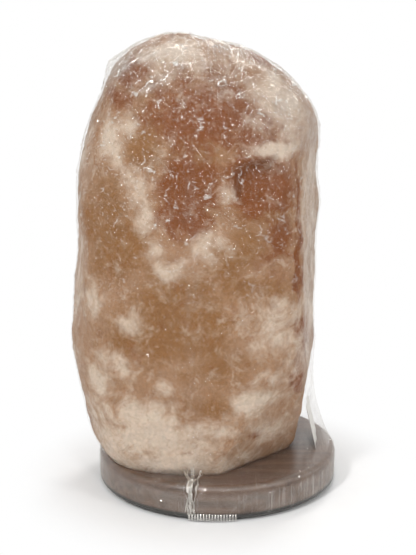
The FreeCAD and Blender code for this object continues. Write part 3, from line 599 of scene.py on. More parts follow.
def film_material(sizes):
    """Clear film: it reflects more at a glancing angle, clouds what it veils a little, and carries painted
    highlights along its creases.
    """
    material, tree, shader = new_material("Clear film")
    shader.inputs["Base Color"].default_value = (0.82, 0.79, 0.74, 1.0)
    shader.inputs["Metallic"].default_value = 0.8
    shader.inputs["Roughness"].default_value = sizes.gloss
    facing = add(tree, "ShaderNodeLayerWeight", {"Blend": 0.5}).outputs["Facing"]
    glance = math_node(tree, "MULTIPLY", math_node(tree, "POWER", facing, 4.0), 0.32)
    cloud = place_group(
        tree, ragged_mask_group(),
        {"Mask": 0.5, "Scale": 45.0, "Raggedness": 1.4, "Softness": 0.45},
    ).outputs["Mask"]
    veil = math_node(tree, "MULTIPLY", mask_of(tree, "veil"), cloud)
    folds = place_group(tree, crease_group(), {"Scale": 55.0, "Seed": 3.0}).outputs
    creases = place_group(tree, crease_group(), {"Scale": 170.0, "Seed": 7.0}).outputs
    painted_sparks = place_group(tree, crease_group(), {"Scale": 330.0, "Seed": 11.0}).outputs
    gathered = mask_of(tree, "gathered")
    # Painted highlights: pale lines along the creases, partly the film's own whitening where it folds, and
    # short glinting strokes that turn the film to its reflective shader wherever they lie; both are strongest
    # where the film is gathered.
    lines = math_node(tree, "ADD", folds["Line"], math_node(tree, "MULTIPLY", creases["Line"], 0.7))
    drawn = math_node(tree, "MULTIPLY", math_node(tree, "MULTIPLY", lines, gathered), 0.075)
    painted_glints = math_node(tree, "ADD", painted_sparks["Painted glint"], math_node(tree, "MULTIPLY", folds["Painted glint"], 0.6))
    painted_glints = math_node(tree, "ADD", painted_glints, math_node(tree, "MULTIPLY", creases["Painted glint"], 0.8))
    drawn = math_node(tree, "ADD", drawn, math_node(tree, "MULTIPLY", painted_glints, gathered))
    fibres = place_group(
        tree, grain_group(), {"Scale": 800.0, "Cells": 0.0, "Stretch": (1.0, 1.0, 0.02)}
    ).outputs["Height"]
    streaks = math_node(tree, "MULTIPLY", ranged(tree, fibres, 0.52, 0.72), mask_of(tree, "streaks"))
    streaks = math_node(tree, "MULTIPLY", streaks, 0.28)
    cover = math_node(tree, "ADD", math_node(tree, "ADD", glance, 0.012), veil)
    cover = math_node(tree, "ADD", math_node(tree, "ADD", cover, drawn), streaks, clamp=True)
    fine = math_node(tree, "MULTIPLY", creases["Height"], gathered)
    height = math_node(tree, "ADD", folds["Height"], math_node(tree, "MULTIPLY", fine, 0.6))
    bump(tree, shader, height, 1.0, 0.0011)
    clear = add(tree, "ShaderNodeBsdfTransparent")
    mixed = add(
        tree, "ShaderNodeMixShader",
        {0: cover, 1: clear.outputs[0], 2: shader.outputs[0]},
    )
    output = tree.nodes["Material Output"]
    tree.links.new(mixed.outputs[0], output.inputs["Surface"])
    return material


def wood_material(sizes):
    """Dark stained wood with long grain, a little lacquer on it, and a painted shadow along the lowest edge
    of its side.
    """
    material, tree, shader = new_material("Stained wood")
    long_grain = place_group(
        tree, grain_group(), {"Scale": 260.0, "Cells": 0.3, "Stretch": (0.06, 1.0, 1.0)}
    )
    streaks = ranged(tree, long_grain.outputs["Height"], 0.4, 0.8)
    patches = place_group(tree, ragged_mask_group(), {"Mask": 0.5, "Scale": 22.0, "Softness": 0.5})
    tint = mix_colour(tree, streaks, tuple(sizes.grain), tuple(sizes.wood))
    shade = math_node(tree, "MULTIPLY", patches.outputs["Mask"], 0.35)
    tint = mix_colour(tree, shade, tint, tuple(sizes.grain))
    # Painted shadow: near black where the shade mask marks the lowest edge of the base's side, for the gap
    # under the base.
    tint = mix_colour(tree, mask_of(tree, "shade"), tint, (0.012, 0.011, 0.009, 1.0))
    tree.links.new(tint, shader.inputs["Base Color"])
    shader.inputs["Roughness"].default_value = 0.4
    shader.inputs["Coat Weight"].default_value = 0.25
    shader.inputs["Coat Roughness"].default_value = 0.25
    bump(tree, shader, long_grain.outputs["Height"], 0.35, 0.0002)
    return material


def paper_material(sizes):
    """White label paper, with the fibres that it is made of."""
    material, tree, shader = new_material("Label paper")
    fibres = place_group(
        tree, grain_group(), {"Scale": 1500.0, "Cells": 0.3, "Stretch": (1.0, 0.3, 1.0)}
    )
    shaded = tuple(channel * 0.9 for channel in sizes.paper[:3]) + (1.0,)
    tint = mix_colour(tree, fibres.outputs["Height"], shaded, tuple(sizes.paper))
    tree.links.new(tint, shader.inputs["Base Color"])
    shader.inputs["Roughness"].default_value = 0.75
    bump(tree, shader, fibres.outputs["Height"], 0.3, 0.00005)
    return material


def glass_material(name):
    """Clear lamp glass."""
    material, _, shader = new_material(name)
    shader.inputs["Base Color"].default_value = (1.0, 1.0, 1.0, 1.0)
    shader.inputs["Transmission Weight"].default_value = 1.0
    shader.inputs["Roughness"].default_value = 0.02
    shader.inputs["IOR"].default_value = 1.5
    return material


# ---- the block's skin ----


def block_rings():
    """The block's smooth skin in millimetres, as rings of points from foot to crown."""
    height, left, right, front, back = np.array(OUTLINE).T
    columns = (height, (right - left) / 2, (back - front) / 2, (right + left) / 2, (back + front) / 2)
    steps = np.hypot(np.diff(height), np.diff(columns[3] + columns[4]) / 2)
    along = np.concatenate([[0], np.cumsum(steps)])
    sample = np.linspace(0, along[-1], ROWS)
    height, middle_x, middle_y, half_x, half_y = (
        blurred(np.interp(sample, along, column)[:, None], 12) for column in columns
    )
    angle = 2 * math.pi * np.arange(COLUMNS)[None] / COLUMNS
    power = 2 / SQUARENESS
    across = np.sign(np.cos(angle)) * np.abs(np.cos(angle)) ** power
    deep = np.sign(np.sin(angle)) * np.abs(np.sin(angle)) ** power
    x = middle_x + across * half_x
    y = middle_y + deep * half_y
    z = np.repeat(height, COLUMNS, axis=1)
    z[0] = DETAIL["foot"]
    return np.stack([x, y, z], axis=2)


def drawn_in(rings):
    """Rings drawn in to the broad faces, and how far each point was cut back, in millimetres."""
    softness = 0.012
    x, y, z = (rings[..., k].copy() for k in range(3))
    cut = np.zeros_like(x)
    for turn, reach, lean in BROAD_FACES:
        facing = math.radians(turn)
        limit = reach + (z - DETAIL["foot"]) * lean
        beyond = x * math.cos(facing) + y * math.sin(facing)
        ratio = np.where(beyond > limit * 0.5, limit / np.maximum(beyond, 1.0), 2.0)
        share = -softness * np.log(np.exp(-1 / softness) + np.exp(-ratio / softness))
        cut = np.maximum(cut, beyond - limit)
        x, y = x * share, y * share
    return np.stack([x, y, z], axis=2), cut


def facets(rings):
    """How far the block's broad facets stand in or out at each point, in millimetres."""
    levels = np.arange(len(LEVEL_HEIGHTS))[:, None]
    wander = FACET_DEPTH * np.sin(FACET_STEP * np.arange(CORNERS) + FACET_RISE * levels)
    corner = (np.arange(COLUMNS) / COLUMNS * CORNERS - 0.5) % CORNERS
    before = np.floor(corner).astype(int)
    share = corner - before
    around = wander[:, before] * (1 - share) + wander[:, (before + 1) % CORNERS] * share
    columns = [
        np.interp(rings[:, column, 2], LEVEL_HEIGHTS, around[:, column])
        for column in range(COLUMNS)
    ]
    return blurred(np.stack(columns, axis=1), 12)


def scoops(rings, count, seed):
    """Hewn scoops: 0 in the middle of each, rising to about 1 on the crests between them."""
    flat = rings.reshape(-1, 3)
    picks = np.random.RandomState(seed).choice(len(flat), count, replace=False)
    tree = kdtree.KDTree(count)
    for number, pick in enumerate(picks):
        tree.insert(flat[pick], number)
    tree.balance()
    spacing = 17.0
    reach = np.array([tree.find(place)[2] for place in flat.tolist()])
    return np.clip(reach / spacing, 0, 1.5).reshape(rings.shape[:2]) ** 2


class Skin:
    """The block's skin: its smooth rings, the way out at each point, and the carved salt."""

    def __init__(self, salt):
        rings, cut_back = drawn_in(block_rings())
        self.rings = rings
        self.out = normals_of(rings)
        warp = np.stack([noise_at(rings, 30.0, seed) for seed in (3.0, 5.0, 9.0)], axis=2)
        sawn = step_up(cut_back, -1.0, 4.0)
        rough = 1 - 0.72 * sawn
        relief = salt.hewing / MM * (scoops(rings + warp * 6, 120, 11) - 0.7)
        relief += salt.lumps / MM * (noise_at(rings, 42.0, 1.0) * 1.2 + noise_at(rings, 19.0, 2.0))
        relief += salt.grain / MM * (noise_at(rings, 7.0, 4.0) * 1.6 + noise_at(rings, 3.0, 6.0))
        relief = relief * rough + facets(rings) * (1 - sawn)
        relief -= self.hollow(salt)
        self.relief = relief * step_up(rings[..., 2], DETAIL["foot"], DETAIL["foot"] + 7.0)
        self.salt = rings + self.out * self.relief[..., None]
        self.warp = warp
        self.curl = np.stack([noise_at(rings, 11.0, seed) for seed in (12.0, 14.0, 16.0)], axis=2)

    def hollow(self, salt):
        """Depth of the hollow in the upper front, steep under the ledge over it."""
        middle, wide, tall, squareness = (23.0, 201.0), 16.0, 15.0, 2.4
        wander = noise_at(self.rings, 12.0, 31.0) * 5.0
        across = self.rings[..., 0] - middle[0]
        up = (self.rings[..., 2] - middle[1] - 0.12 * across + wander) / tall
        across = (across + wander) / wide
        up = np.where(up > 0, up * 1.15, up * 0.8)
        front = step_up(-self.out[..., 1], 0.2, 0.6)
        far = (np.abs(across) ** squareness + np.abs(up) ** squareness) ** (1 / squareness)
        deep = step_up(1 - far, 0.0, 0.55) * (1 - 0.5 * step_up(-up, 0.0, 0.9))
        return salt.hollow / MM * deep * front

    def mineral(self, name):
        """How strongly one mineral shows at each point, from 0 to about 1."""
        place = self.salt + self.warp * 4 + self.curl * 4
        front = step_up(-self.out[..., 1], 0.15, 0.55)
        drawn = np.zeros(front.shape)
        for x, z, wide, tall, strength in MINERALS[name]:
            far = np.hypot((place[..., 0] - x) / wide, (place[..., 2] - z) / tall)
            drawn = np.maximum(drawn, strength * np.exp(-0.6 * far ** 2))
        seed, level = WILD[name]
        wild = step_up(noise_at(self.rings, 48.0, seed) + level, -0.1, 0.5)
        return np.maximum(drawn * front + wild * (1 - front) * 0.8, self.stain(name))

    def stain(self, name):
        """The stains down the sawn side: rust low down, and milk over it."""
        x, y, height = (self.rings[..., k] for k in range(3))
        if name == "rust":
            band = step_up(height, 58.0, 66.0) * (1 - step_up(height, 98.0, 106.0))
            return band * step_up(x, 52.0, 56.0) * step_up(y, -12.0, 0.0)
        if name == "milk":
            band = step_up(height, 108.0, 116.0) * (1 - step_up(height, 205.0, 225.0))
            return 0.62 * band * step_up(x, 48.5, 50.5)
        return np.zeros(x.shape)


def skin_of(scene):
    """The block's skin, worked out once for the pieces that follow it."""
    if not hasattr(skin_of, "kept"):
        skin_of.kept = Skin(scene.salt_lamp_salt)
    return skin_of.kept


# ---- operators ----


class SALTLAMP_OT_salt_crystal(bpy.types.Operator):
    """Carve the block of rock salt, with the bore that the lampholder stands in"""

    bl_idname = "saltlamp.salt_crystal"
    bl_label = "Salt crystal"

    def execute(self, context):
        skin = skin_of(context.scene)
        bore = turned_rings(
            [(DETAIL["bore"], DETAIL["bore_end"]), (DETAIL["bore"], DETAIL["foot"])], COLUMNS
        )
        ledge = (bore[1] + skin.salt[0]) / 2
        rings = np.concatenate([bore, ledge[None], skin.salt])
        obj = ring_mesh("salt_block", rings, close_low=True, close_high=True)
        for name in MINERALS:
            set_mask(obj, name, np.concatenate([np.zeros((3, COLUMNS)), skin.mineral(name)]))
        dress(obj, salt_material(context.scene.salt_lamp_salt), "root", "salt", "salt_crystal")
        return {"FINISHED"}


class SALTLAMP_OT_shrink_film(bpy.types.Operator):
    """Draw the clear film over the block, out to the rim and in under the base"""

    bl_idname = "saltlamp.shrink_film"
    bl_label = "Shrink film"

    # The skirt: how high over the block's foot it starts, how it sweeps out, how far inside the
    # rim it meets the base, and the first ring of the block's skin that it takes in.
    lift = 82.0
    sweep = 1.8
    rim_inset = 1.6
    first_row = 4

    def stretched(self, skin):
        """How far the film stands off the smooth skin, bridging the salt's hollows."""
        reach = 7
        bridge = -spread(-spread(skin.relief, reach), reach)
        return np.maximum(blurred(bridge, 6), skin.relief)

    def wrinkles(self, skin, film):
        """Height of the film's wrinkles, strongest where it is gathered near the top."""
        place = skin.rings
        gathered = 0.25 + 0.75 * step_up(place[..., 2], 120.0, 225.0)
        warped = place + skin.warp * 9
        folds = ridges_at(warped, 17.0, 61.0, 3) * 0.6 + ridges_at(warped, 8.0, 67.0, 3) * 0.5
        folds += ridges_at(place + skin.warp * 3, 4.5, 71.0, 2) * 0.35
        height = film.wrinkles / MM * folds * gathered
        burst = place - np.array((0.0, -35.0, 258.0))
        far = np.linalg.norm(burst, axis=2)
        turn = np.arctan2(burst[..., 2] - burst[..., 1] * 0.6, burst[..., 0])
        pleat = np.abs(np.sin(turn * 9 + noise_at(place, 14.0, 75.0) * 2.5)) ** 2
        burst = (1 - pleat) ** 2 * hump(far, 0.0, 27.0) * step_up(far, 2.0, 9.0)
        seam = crease(place + skin.warp * 2, (-42.0, 247.0), (-16.0, 262.0), 1.5)
        seam += 0.6 * crease(place + skin.warp * 3, (-50.0, 259.0), (-22.0, 271.0), 1.2)
        height += film.pleats / MM * burst + 1.3 * seam
        self.crests = 0.30 * burst + 0.45 * seam
        corner = np.linalg.norm(place - np.array((-63.0, -5.0, 262.0)), axis=2)
        height += 4.0 * hump(corner, 0.0, 9.0)
        return height

    def execute(self, context):
        film = context.scene.salt_lamp_film
        skin = skin_of(context.scene)
        off = self.stretched(skin) + film.gap / MM + self.wrinkles(skin, film)
        near = skin.rings + skin.out * off[..., None]
        rings, veil = self.skirted(skin, near, film)
        obj = ring_mesh("wrapping_film", rings, close_high=True)
        set_mask(obj, "veil", veil)
        crown = 0.7 * step_up(rings[..., 2], 225.0, 250.0)
        set_mask(obj, "gathered", 0.12 + 0.88 * step_up(rings[..., 2], 110.0, 200.0) + crown)
        right = step_up(rings[..., 0], -10.0, 40.0) * step_up(rings[..., 2], 4.0, 8.0)
        side = step_up(rings[..., 0], 50.0, 56.0) * 0.35
        set_mask(obj, "streaks", np.where(rings[..., 2] < 17.5, 0.15 + 0.85 * right, side))
        dress(obj, film_material(film), "root", "clear_film", "shrink_film")
        return {"FINISHED"}

    def skirted(self, skin, near, film):
        """The film with its skirt, the band round the base and the lip, and its veil."""
        foot = DETAIL["foot"]
        keep = self.first_row
        angle = 2 * math.pi * np.arange(COLUMNS) / COLUMNS
        way = np.arctan2(near[..., 1], near[..., 0])
        far = around_axis(DETAIL["rim"] - self.rim_inset, way, near[..., 2])
        share = np.clip(1 - (near[..., 2] - foot) / self.lift, 0, 1) ** self.sweep
        between = near * (1 - share[..., None]) + far * share[..., None]
        inside = np.hypot(between[..., 0], between[..., 1]) < np.hypot(near[..., 0], near[..., 1])
        upper = np.where(inside[..., None], near, between)[keep:]
        streaks = noise_at(around_axis(60, way, near[..., 2] * 0.1), 2.2, 81.0)
        loose = (share * ~inside)[keep:]
        upper[..., 2] += streaks[keep:] * loose * 0.5
        patches = step_up(noise_at(upper, 13.0, 95.0), -0.1, 0.25)
        clear = np.hypot((upper[..., 0] - 8.0) / 34.0, (upper[..., 1] + 66.0) / 20.0)
        patches *= step_up(clear, 0.6, 1.1)
        veil = film.veil * (0.5 + 11.0 * step_up(upper[..., 2], 240.0, 268.0))
        veil += 0.17 * loose * patches
        shoulder = np.linalg.norm((upper - np.array((46.0, -35.0, 238.0))) / (26, 40, 26), axis=2)
        veil += 0.36 * hump(shoulder, 0.0, 1.0)
        veil += 0.10 * step_up(upper[..., 0], 50.0, 58.0)
        corner = np.linalg.norm((upper - np.array((-58.0, -15.0, 264.0))) / (15, 35, 13), axis=2)
        veil += 0.42 * hump(corner, 0.0, 1.0) + self.crests[keep:]

        way = way[keep]
        rim = DETAIL["rim"] + 0.45
        low = DETAIL["underside"] - 0.35
        profile = [(66.0, low), (70.0, low), (73.5, low)]
        profile += rounded((rim - 1.0, low + 1.0), 1.0, -80, -5, 5)
        profile += [(rim, height) for height in np.linspace(4.6, 16.6, 12)]
        profile += rounded((rim - 4.2, foot - 3.7), 4.2, 4, 80, 8)
        radius, height = np.array(profile).T[..., None]
        band = around_axis(radius, way, height)
        side = noise_at(around_axis(60, angle, 0.0), 1.6, 83.0)
        stand = np.clip(side, 0, 1)[None] * 0.5 + 0.12 * noise_at(band, 6.0, 85.0)
        stand *= step_up(band[..., 2], 1.5, 4.0)
        plan = np.concatenate([band[..., :2] / np.linalg.norm(band[..., :2], axis=2, keepdims=True),
                               np.zeros((len(band), COLUMNS, 1))], axis=2)
        band = band + plan * stand[..., None]
        cling = noise_at(band, 26.0, 91.0) + 0.25 * np.sin(angle + 0.6)[None]
        tight = np.maximum(step_up(cling, 0.05, 0.4), 0.85 * step_up(band[..., 2], 15.5, 18.5))
        band_veil = (0.20 - 0.17 * tight) * step_up(band[..., 2], 3.5, 7.0)
        # Painted highlight: a pale line along the rim's rounded edge at the front, right of the middle and
        # fading out to the left.
        edge = hump(band[..., 2], 20.6, 0.7) * (band[..., 1] < 0)
        band_veil += 0.16 * edge * step_up(band[..., 0], -30.0, 0.0)
        rings, veil = np.concatenate([band, upper]), np.concatenate([band_veil, veil])
        return self.puckered(rings, veil)

    def puckered(self, rings, veil):
        """The film with the knot that its seal pulls together at the front of the rim."""
        radius = np.hypot(rings[..., 0], rings[..., 1])
        way = np.arctan2(rings[..., 1], rings[..., 0])
        across = DETAIL["rim"] * (way - math.atan2(-75.0, -16.4))
        edge, heart = 73.5, 20.0
        along = np.where(radius > edge, rings[..., 2], DETAIL["foot"] + edge - radius)
        reach = step_up(along, 3.0, 7.0) * (1 - step_up(along, 29.0, 36.0))
        waist = 1.6 + 0.28 * np.abs(along - 17.0)
        fold = 0.55 + 0.45 * np.cos(across * 2.1 + along * 0.25)
        knot = 2.1 * hump(across, 0.0, waist) * fold * reach
        spoke = np.abs(np.sin(np.arctan2(along - heart, across) * 4 + 0.5)) ** 6
        far = np.hypot(across, along - heart)
        star = 0.9 * spoke * np.exp(-far / 8.0) * step_up(far, 1.0, 4.0) * step_up(along, 4.0, 8.0)
        crest = 0.8 * crease(rings, (17.0, 15.8), (8.0, 6.4), 0.9) * (radius > 74.0)
        height = (knot * 0.5 + star) * (np.abs(across) < 40) * (rings[..., 1] < 0) + crest
        outward = rings / np.maximum(radius, 1.0)[..., None]
        outward[..., 2] = np.where(radius > 74.0, 0.0, 1.0)
        length = np.linalg.norm(outward, axis=2, keepdims=True)
        return rings + outward / length * height[..., None], veil + 0.12 * height


class SALTLAMP_OT_film_seal(bpy.types.Operator):
    """Crimp the film's welded edge, low on the front of the rim"""

    bl_idname = "saltlamp.film_seal"
    bl_label = "Film seal"

    # Millimetres: where the seal starts across the front, its width, and its section as pairs
    # of how far it stands out and its height.
    crimps = 17
    start = -17.2
    width = 28.7
    section = (
        (0.0, 1.2), (0.25, 1.2), (0.35, 2.4), (0.35, 4.2),
        (0.2, 5.4), (0.0, 5.4), (0.0, 4.2), (0.0, 2.4),
    )

    def execute(self, context):
        share = np.linspace(0, 1, self.crimps * 8 + 1)
        turn = (self.start + share * self.width) / DETAIL["rim"] - math.pi / 2
        wave = 0.5 - 0.5 * np.cos(share * self.crimps * 2 * math.pi)
        loops = []
        for out, height in self.section:
            swell = wave * (0.45 if 2.0 < height < 5.0 else 0.1) * (out > 0)
            loops.append(around_axis(DETAIL["rim"] + 0.75 + out + swell, turn, height))
        rings = np.stack(loops, axis=1)
        obj = ring_mesh("film_seal", rings, close_low=True, close_high=True)
        weld(obj)
        veil = np.repeat(2.4 * wave[:, None] ** 3, len(self.section), axis=1)
        set_mask(obj, "veil", np.append(veil.ravel(), (0.1, 0.1)))
        dress(obj, bpy.data.materials["Clear film"], "root", "clear_film")
        return {"FINISHED"}


class SALTLAMP_OT_film_knot(bpy.types.Operator):
    """Gather the film in a crinkled knot over the rim, with its loose threads"""

    bl_idname = "saltlamp.film_knot"
    bl_label = "Film knot"

    way = math.atan2(-75.0, -15.6)
    length = 33.0
    threads = 16

    def over_rim(self, across, along, out):
        """Points over the rim: across its front, along from the top face down, and outwards."""
        bend, flat = 4.6, 12.0
        turn = np.clip((along - flat) / bend, 0, math.pi / 2)
        past = np.clip(along - flat - bend * math.pi / 2, 0, None)
        radius = DETAIL["rim"] - 3.7 + (bend + out) * np.sin(turn) - np.clip(flat - along, 0, None)
        height = DETAIL["foot"] - 3.7 + (bend + out) * np.cos(turn) - past
        way = self.way + across / DETAIL["rim"]
        return around_axis(radius, way, height)

    def execute(self, context):
        gathered = self.pleated()
        threads = [self.thread(number) for number in range(self.threads)]
        obj = joined("film_knot", [gathered, *threads])
        dress(obj, bpy.data.materials["Clear film"], "root", "clear_film")
        return {"FINISHED"}

    def pleated(self):
        """The gathered film: pleats, widest over the rim's edge, that run out above and below."""
        across, along = np.meshgrid(np.linspace(-8, 8, 81), np.linspace(0, self.length, 121))
        share = np.abs(along / self.length * 2 - 1.05)
        waist = 1.5 + 2.6 * hump(along, 15.0, 6.5) + 0.9 * hump(along, 26.0, 4.0)
        place = np.stack([across, along, along * 0], axis=2)
        fan = across / waist + noise_at(place, 5.0, 97.0) * 0.5
        body = hump(fan, 0.0, 1.0) * (1 - 0.8 * np.clip(share, 0, 1) ** 1.5)
        pleat = 0.5 + 0.5 * np.cos(fan * 8 + noise_at(place, 3.0, 99.0) * 3)
        out = 3.0 * body * (0.3 + 0.7 * pleat) + body * noise_at(place, 1.5, 101.0) * 1.2
        rings = self.over_rim(across, along, out)
        obj = ring_mesh("gathered_film", rings, wrap=False)
        set_mask(obj, "veil", 2.0 * body * pleat ** 3)
        return obj

    def thread(self, number):
        """One torn thread of film, from the top fan through the waist to the bottom fan."""
        rand = np.random.RandomState(40 + number)
        share = np.linspace(-1.05, 0.98, 44) * rand.uniform(0.75, 1.0)
        above, below = rand.uniform(-12.0, 7.0), rand.uniform(-4.5, 4.5)
        spread_out = np.where(share < 0, above, below) * np.abs(share) ** 1.4
        wave = np.sin(share * rand.uniform(4, 9) + rand.uniform(0, 6)) * rand.uniform(0.4, 1.1)
        across = spread_out + wave
        along = self.length / 2 + 0.8 + share * self.length / 2
        out = 0.9 + 1.9 * (1 - np.abs(share)) + 0.5 * np.sin(share * 7 + number)
        out += rand.uniform(2.0, 16.0) * np.clip(-share - 0.45, 0, None) ** 1.3
        middle = self.over_rim(across, along, out)
        ahead = np.gradient(middle, axis=0)
        ahead /= np.linalg.norm(ahead, axis=1, keepdims=True)
        side = np.cross(ahead, (0.0, 0.0, 1.0) + rand.uniform(-0.2, 0.2, 3))
        side /= np.linalg.norm(side, axis=1, keepdims=True)
        upward = np.cross(ahead, side)
        turns = np.linspace(0, 2 * math.pi, 6, endpoint=False)[None, :, None]
        ring = side[:, None] * np.cos(turns) * 0.34 + upward[:, None] * np.sin(turns) * 0.16
        obj = ring_mesh("thread", middle[:, None] + ring, close_low=True, close_high=True)
        set_mask(obj, "veil", np.full(len(obj.data.vertices), 0.7))
        return obj


class SALTLAMP_OT_wooden_base(bpy.types.Operator):
    """Turn the wooden base, with its recess, bore and cord channel"""

    bl_idname = "saltlamp.wooden_base"
    bl_label = "Wooden base"

    def execute(self, context):
        sizes = context.scene.salt_lamp_base
        rim, foot, low = DETAIL["rim"], DETAIL["foot"], DETAIL["underside"]
        edge = DETAIL["rim_round"]
        ceiling = low + 7.0
        recess, bore, bevel = 44.0, DETAIL["bore"], 0.8
        profile = [(recess, low), (rim - bevel, low)]
        profile += rounded((rim - bevel, low + bevel), bevel, -70, 0, 4)
        profile += [(rim, height) for height in (low + 1.2, low + 2.0, low + 3.2)]
        profile += rounded((rim - edge, foot - edge), edge, 0, 90, 10)
        profile += [(40.0, foot), (bore, foot), (bore, ceiling), (recess, ceiling), (recess, low)]
        rings = turned_rings(profile, 192)
        obj = ring_mesh("turned_base", rings)
        cutter = self.channel_cutter(sizes, low, ceiling)
        weld(obj)
        cut = obj.modifiers.new("channel", "BOOLEAN")
        cut.operation = "DIFFERENCE"
        cut.object = cutter
        cut.solver = "EXACT"
        apply_modifiers(obj)
        bpy.data.objects.remove(cutter)
        place = np.array([vertex.co for vertex in obj.data.vertices]) / MM
        # Painted shadow: the outside of the base goes near black over its lowest few millimetres, standing in
        # for the shade in the gap between the base and the table.
        outside = np.hypot(place[:, 0], place[:, 1]) > rim - 2.0
        set_mask(obj, "shade", outside * (1 - step_up(place[:, 2], low + 2.2, low + 3.0)))
        dress(obj, wood_material(sizes), "root", "dark_wood", "wooden_base")
        return {"FINISHED"}

    def channel_cutter(self, sizes, low, ceiling):
        half = sizes.channel / MM / 2
        corners = [(-half, 30.0), (half, 30.0), (half, 90.0), (-half, 90.0)]
        rings = np.array([[(x, y, height) for x, y in corners] for height in (low - 5.0, ceiling)])
        return ring_mesh("channel_cutter", rings, close_low=True, close_high=True)


class SALTLAMP_OT_paper_label(bpy.types.Operator):
    """Put the blank paper label behind the film"""

    bl_idname = "saltlamp.paper_label"
    bl_label = "Paper label"

    turned_in = 2.6

    def execute(self, context):
        low, high = (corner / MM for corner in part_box("paper_label"))
        lean = math.radians(13.0)
        columns = 24
        share = np.linspace(0, 1, columns)
        front, back = [], []
        for up in np.linspace(0, 26.0, 20):
            bow = 0.8 * np.sin(math.pi * share) * (up / 26.0) + 0.35 * np.sin(share * 9)
            x = high.x - up * math.sin(lean) - 0.4 - bow - self.turned_in * (1 - share)
            y = low.y + share * (high.y - low.y)
            z = np.full(columns, low.z + 0.1 + up * math.cos(lean))
            front.append(np.column_stack([x, y, z]))
            back.append(np.column_stack([x - 0.2, y, z]))
        rings = np.array([np.concatenate([a, b[::-1]]) for a, b in zip(front, back)])
        obj = ring_mesh("blank_label", rings)
        flat_ends(obj, rings)
        dress(obj, paper_material(context.scene.salt_lamp_base), "root", "blank_paper", "paper_label")
        return {"FINISHED"}


def flat_ends(obj, rings):
    """Close the first and last rings of a thin sheet, front to back."""
    mesh = bmesh.new()
    mesh.from_mesh(obj.data)
    mesh.verts.ensure_lookup_table()
    rows, count = rings.shape[:2]
    for start in (0, (rows - 1) * count):
        for k in range(count // 2 - 1):
            corners = [start + k, start + k + 1, start + count - 2 - k, start + count - 1 - k]
            mesh.faces.new([mesh.verts[i] for i in corners])
    bmesh.ops.recalc_face_normals(mesh, faces=mesh.faces)
    mesh.to_mesh(obj.data)
    mesh.free()


class SALTLAMP_OT_fittings(bpy.types.Operator):
    """Finish the pads, screws, lampholder and bulb, whose shapes the frame holds"""

    bl_idname = "saltlamp.fittings"
    bl_label = "Fittings"

    def execute(self, context):
        sizes = context.scene.salt_lamp_base
        black = plain_finish("Black plastic", (0.022, 0.022, 0.024), 0.42)
        steel = plain_finish("Zinc steel", (0.62, 0.61, 0.58), 0.32, metallic=1.0)
        spring = plain_finish("Spring steel", (0.45, 0.44, 0.42), 0.28, metallic=1.0)
        brass = plain_finish("Brass", (0.72, 0.50, 0.22), 0.3, metallic=1.0)
        finishes = {
            plain_finish("Pad rubber", tuple(sizes.rubber), 0.75): ("foot_pads",),
            steel: ("crystal_screws", "nipple_nut", "inlet_nipple"),
            plain_finish("Plug plastic", (0.42, 0.42, 0.43), 0.5): ("anchor_plugs",),
            black: ("holder_body", "holder_cap"),
            spring: ("clip_yoke", "clip_leaf_left", "clip_leaf_right"),
            plain_finish("White ceramic", (0.80, 0.78, 0.74), 0.25): ("holder_insert",),
            brass: ("socket_shell", "centre_contact", "side_contact", "terminal_screws"),
            glass_material("Bulb glass"): ("bulb_glass", "bulb_stem"),
            plain_finish("Bulb cap metal", (0.66, 0.64, 0.60), 0.3, metallic=1.0): ("bulb_cap",),
            plain_finish("Black glass", (0.012, 0.012, 0.014), 0.12): ("bulb_insulator",),
            plain_finish("Solder", (0.55, 0.55, 0.56), 0.35, metallic=1.0): ("bulb_contact",),
            plain_finish("Filament metal", (0.30, 0.29, 0.28), 0.4, metallic=1.0): (
                "filament_wires", "bulb_filament",
            ),
        }
        for material, names in finishes.items():
            for name in names:
                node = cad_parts[name]
                if not node.material_slots:
                    raise RuntimeError(f"{name} has no material slot")
                for slot in node.material_slots:
                    slot.material = material
        return {"FINISHED"}


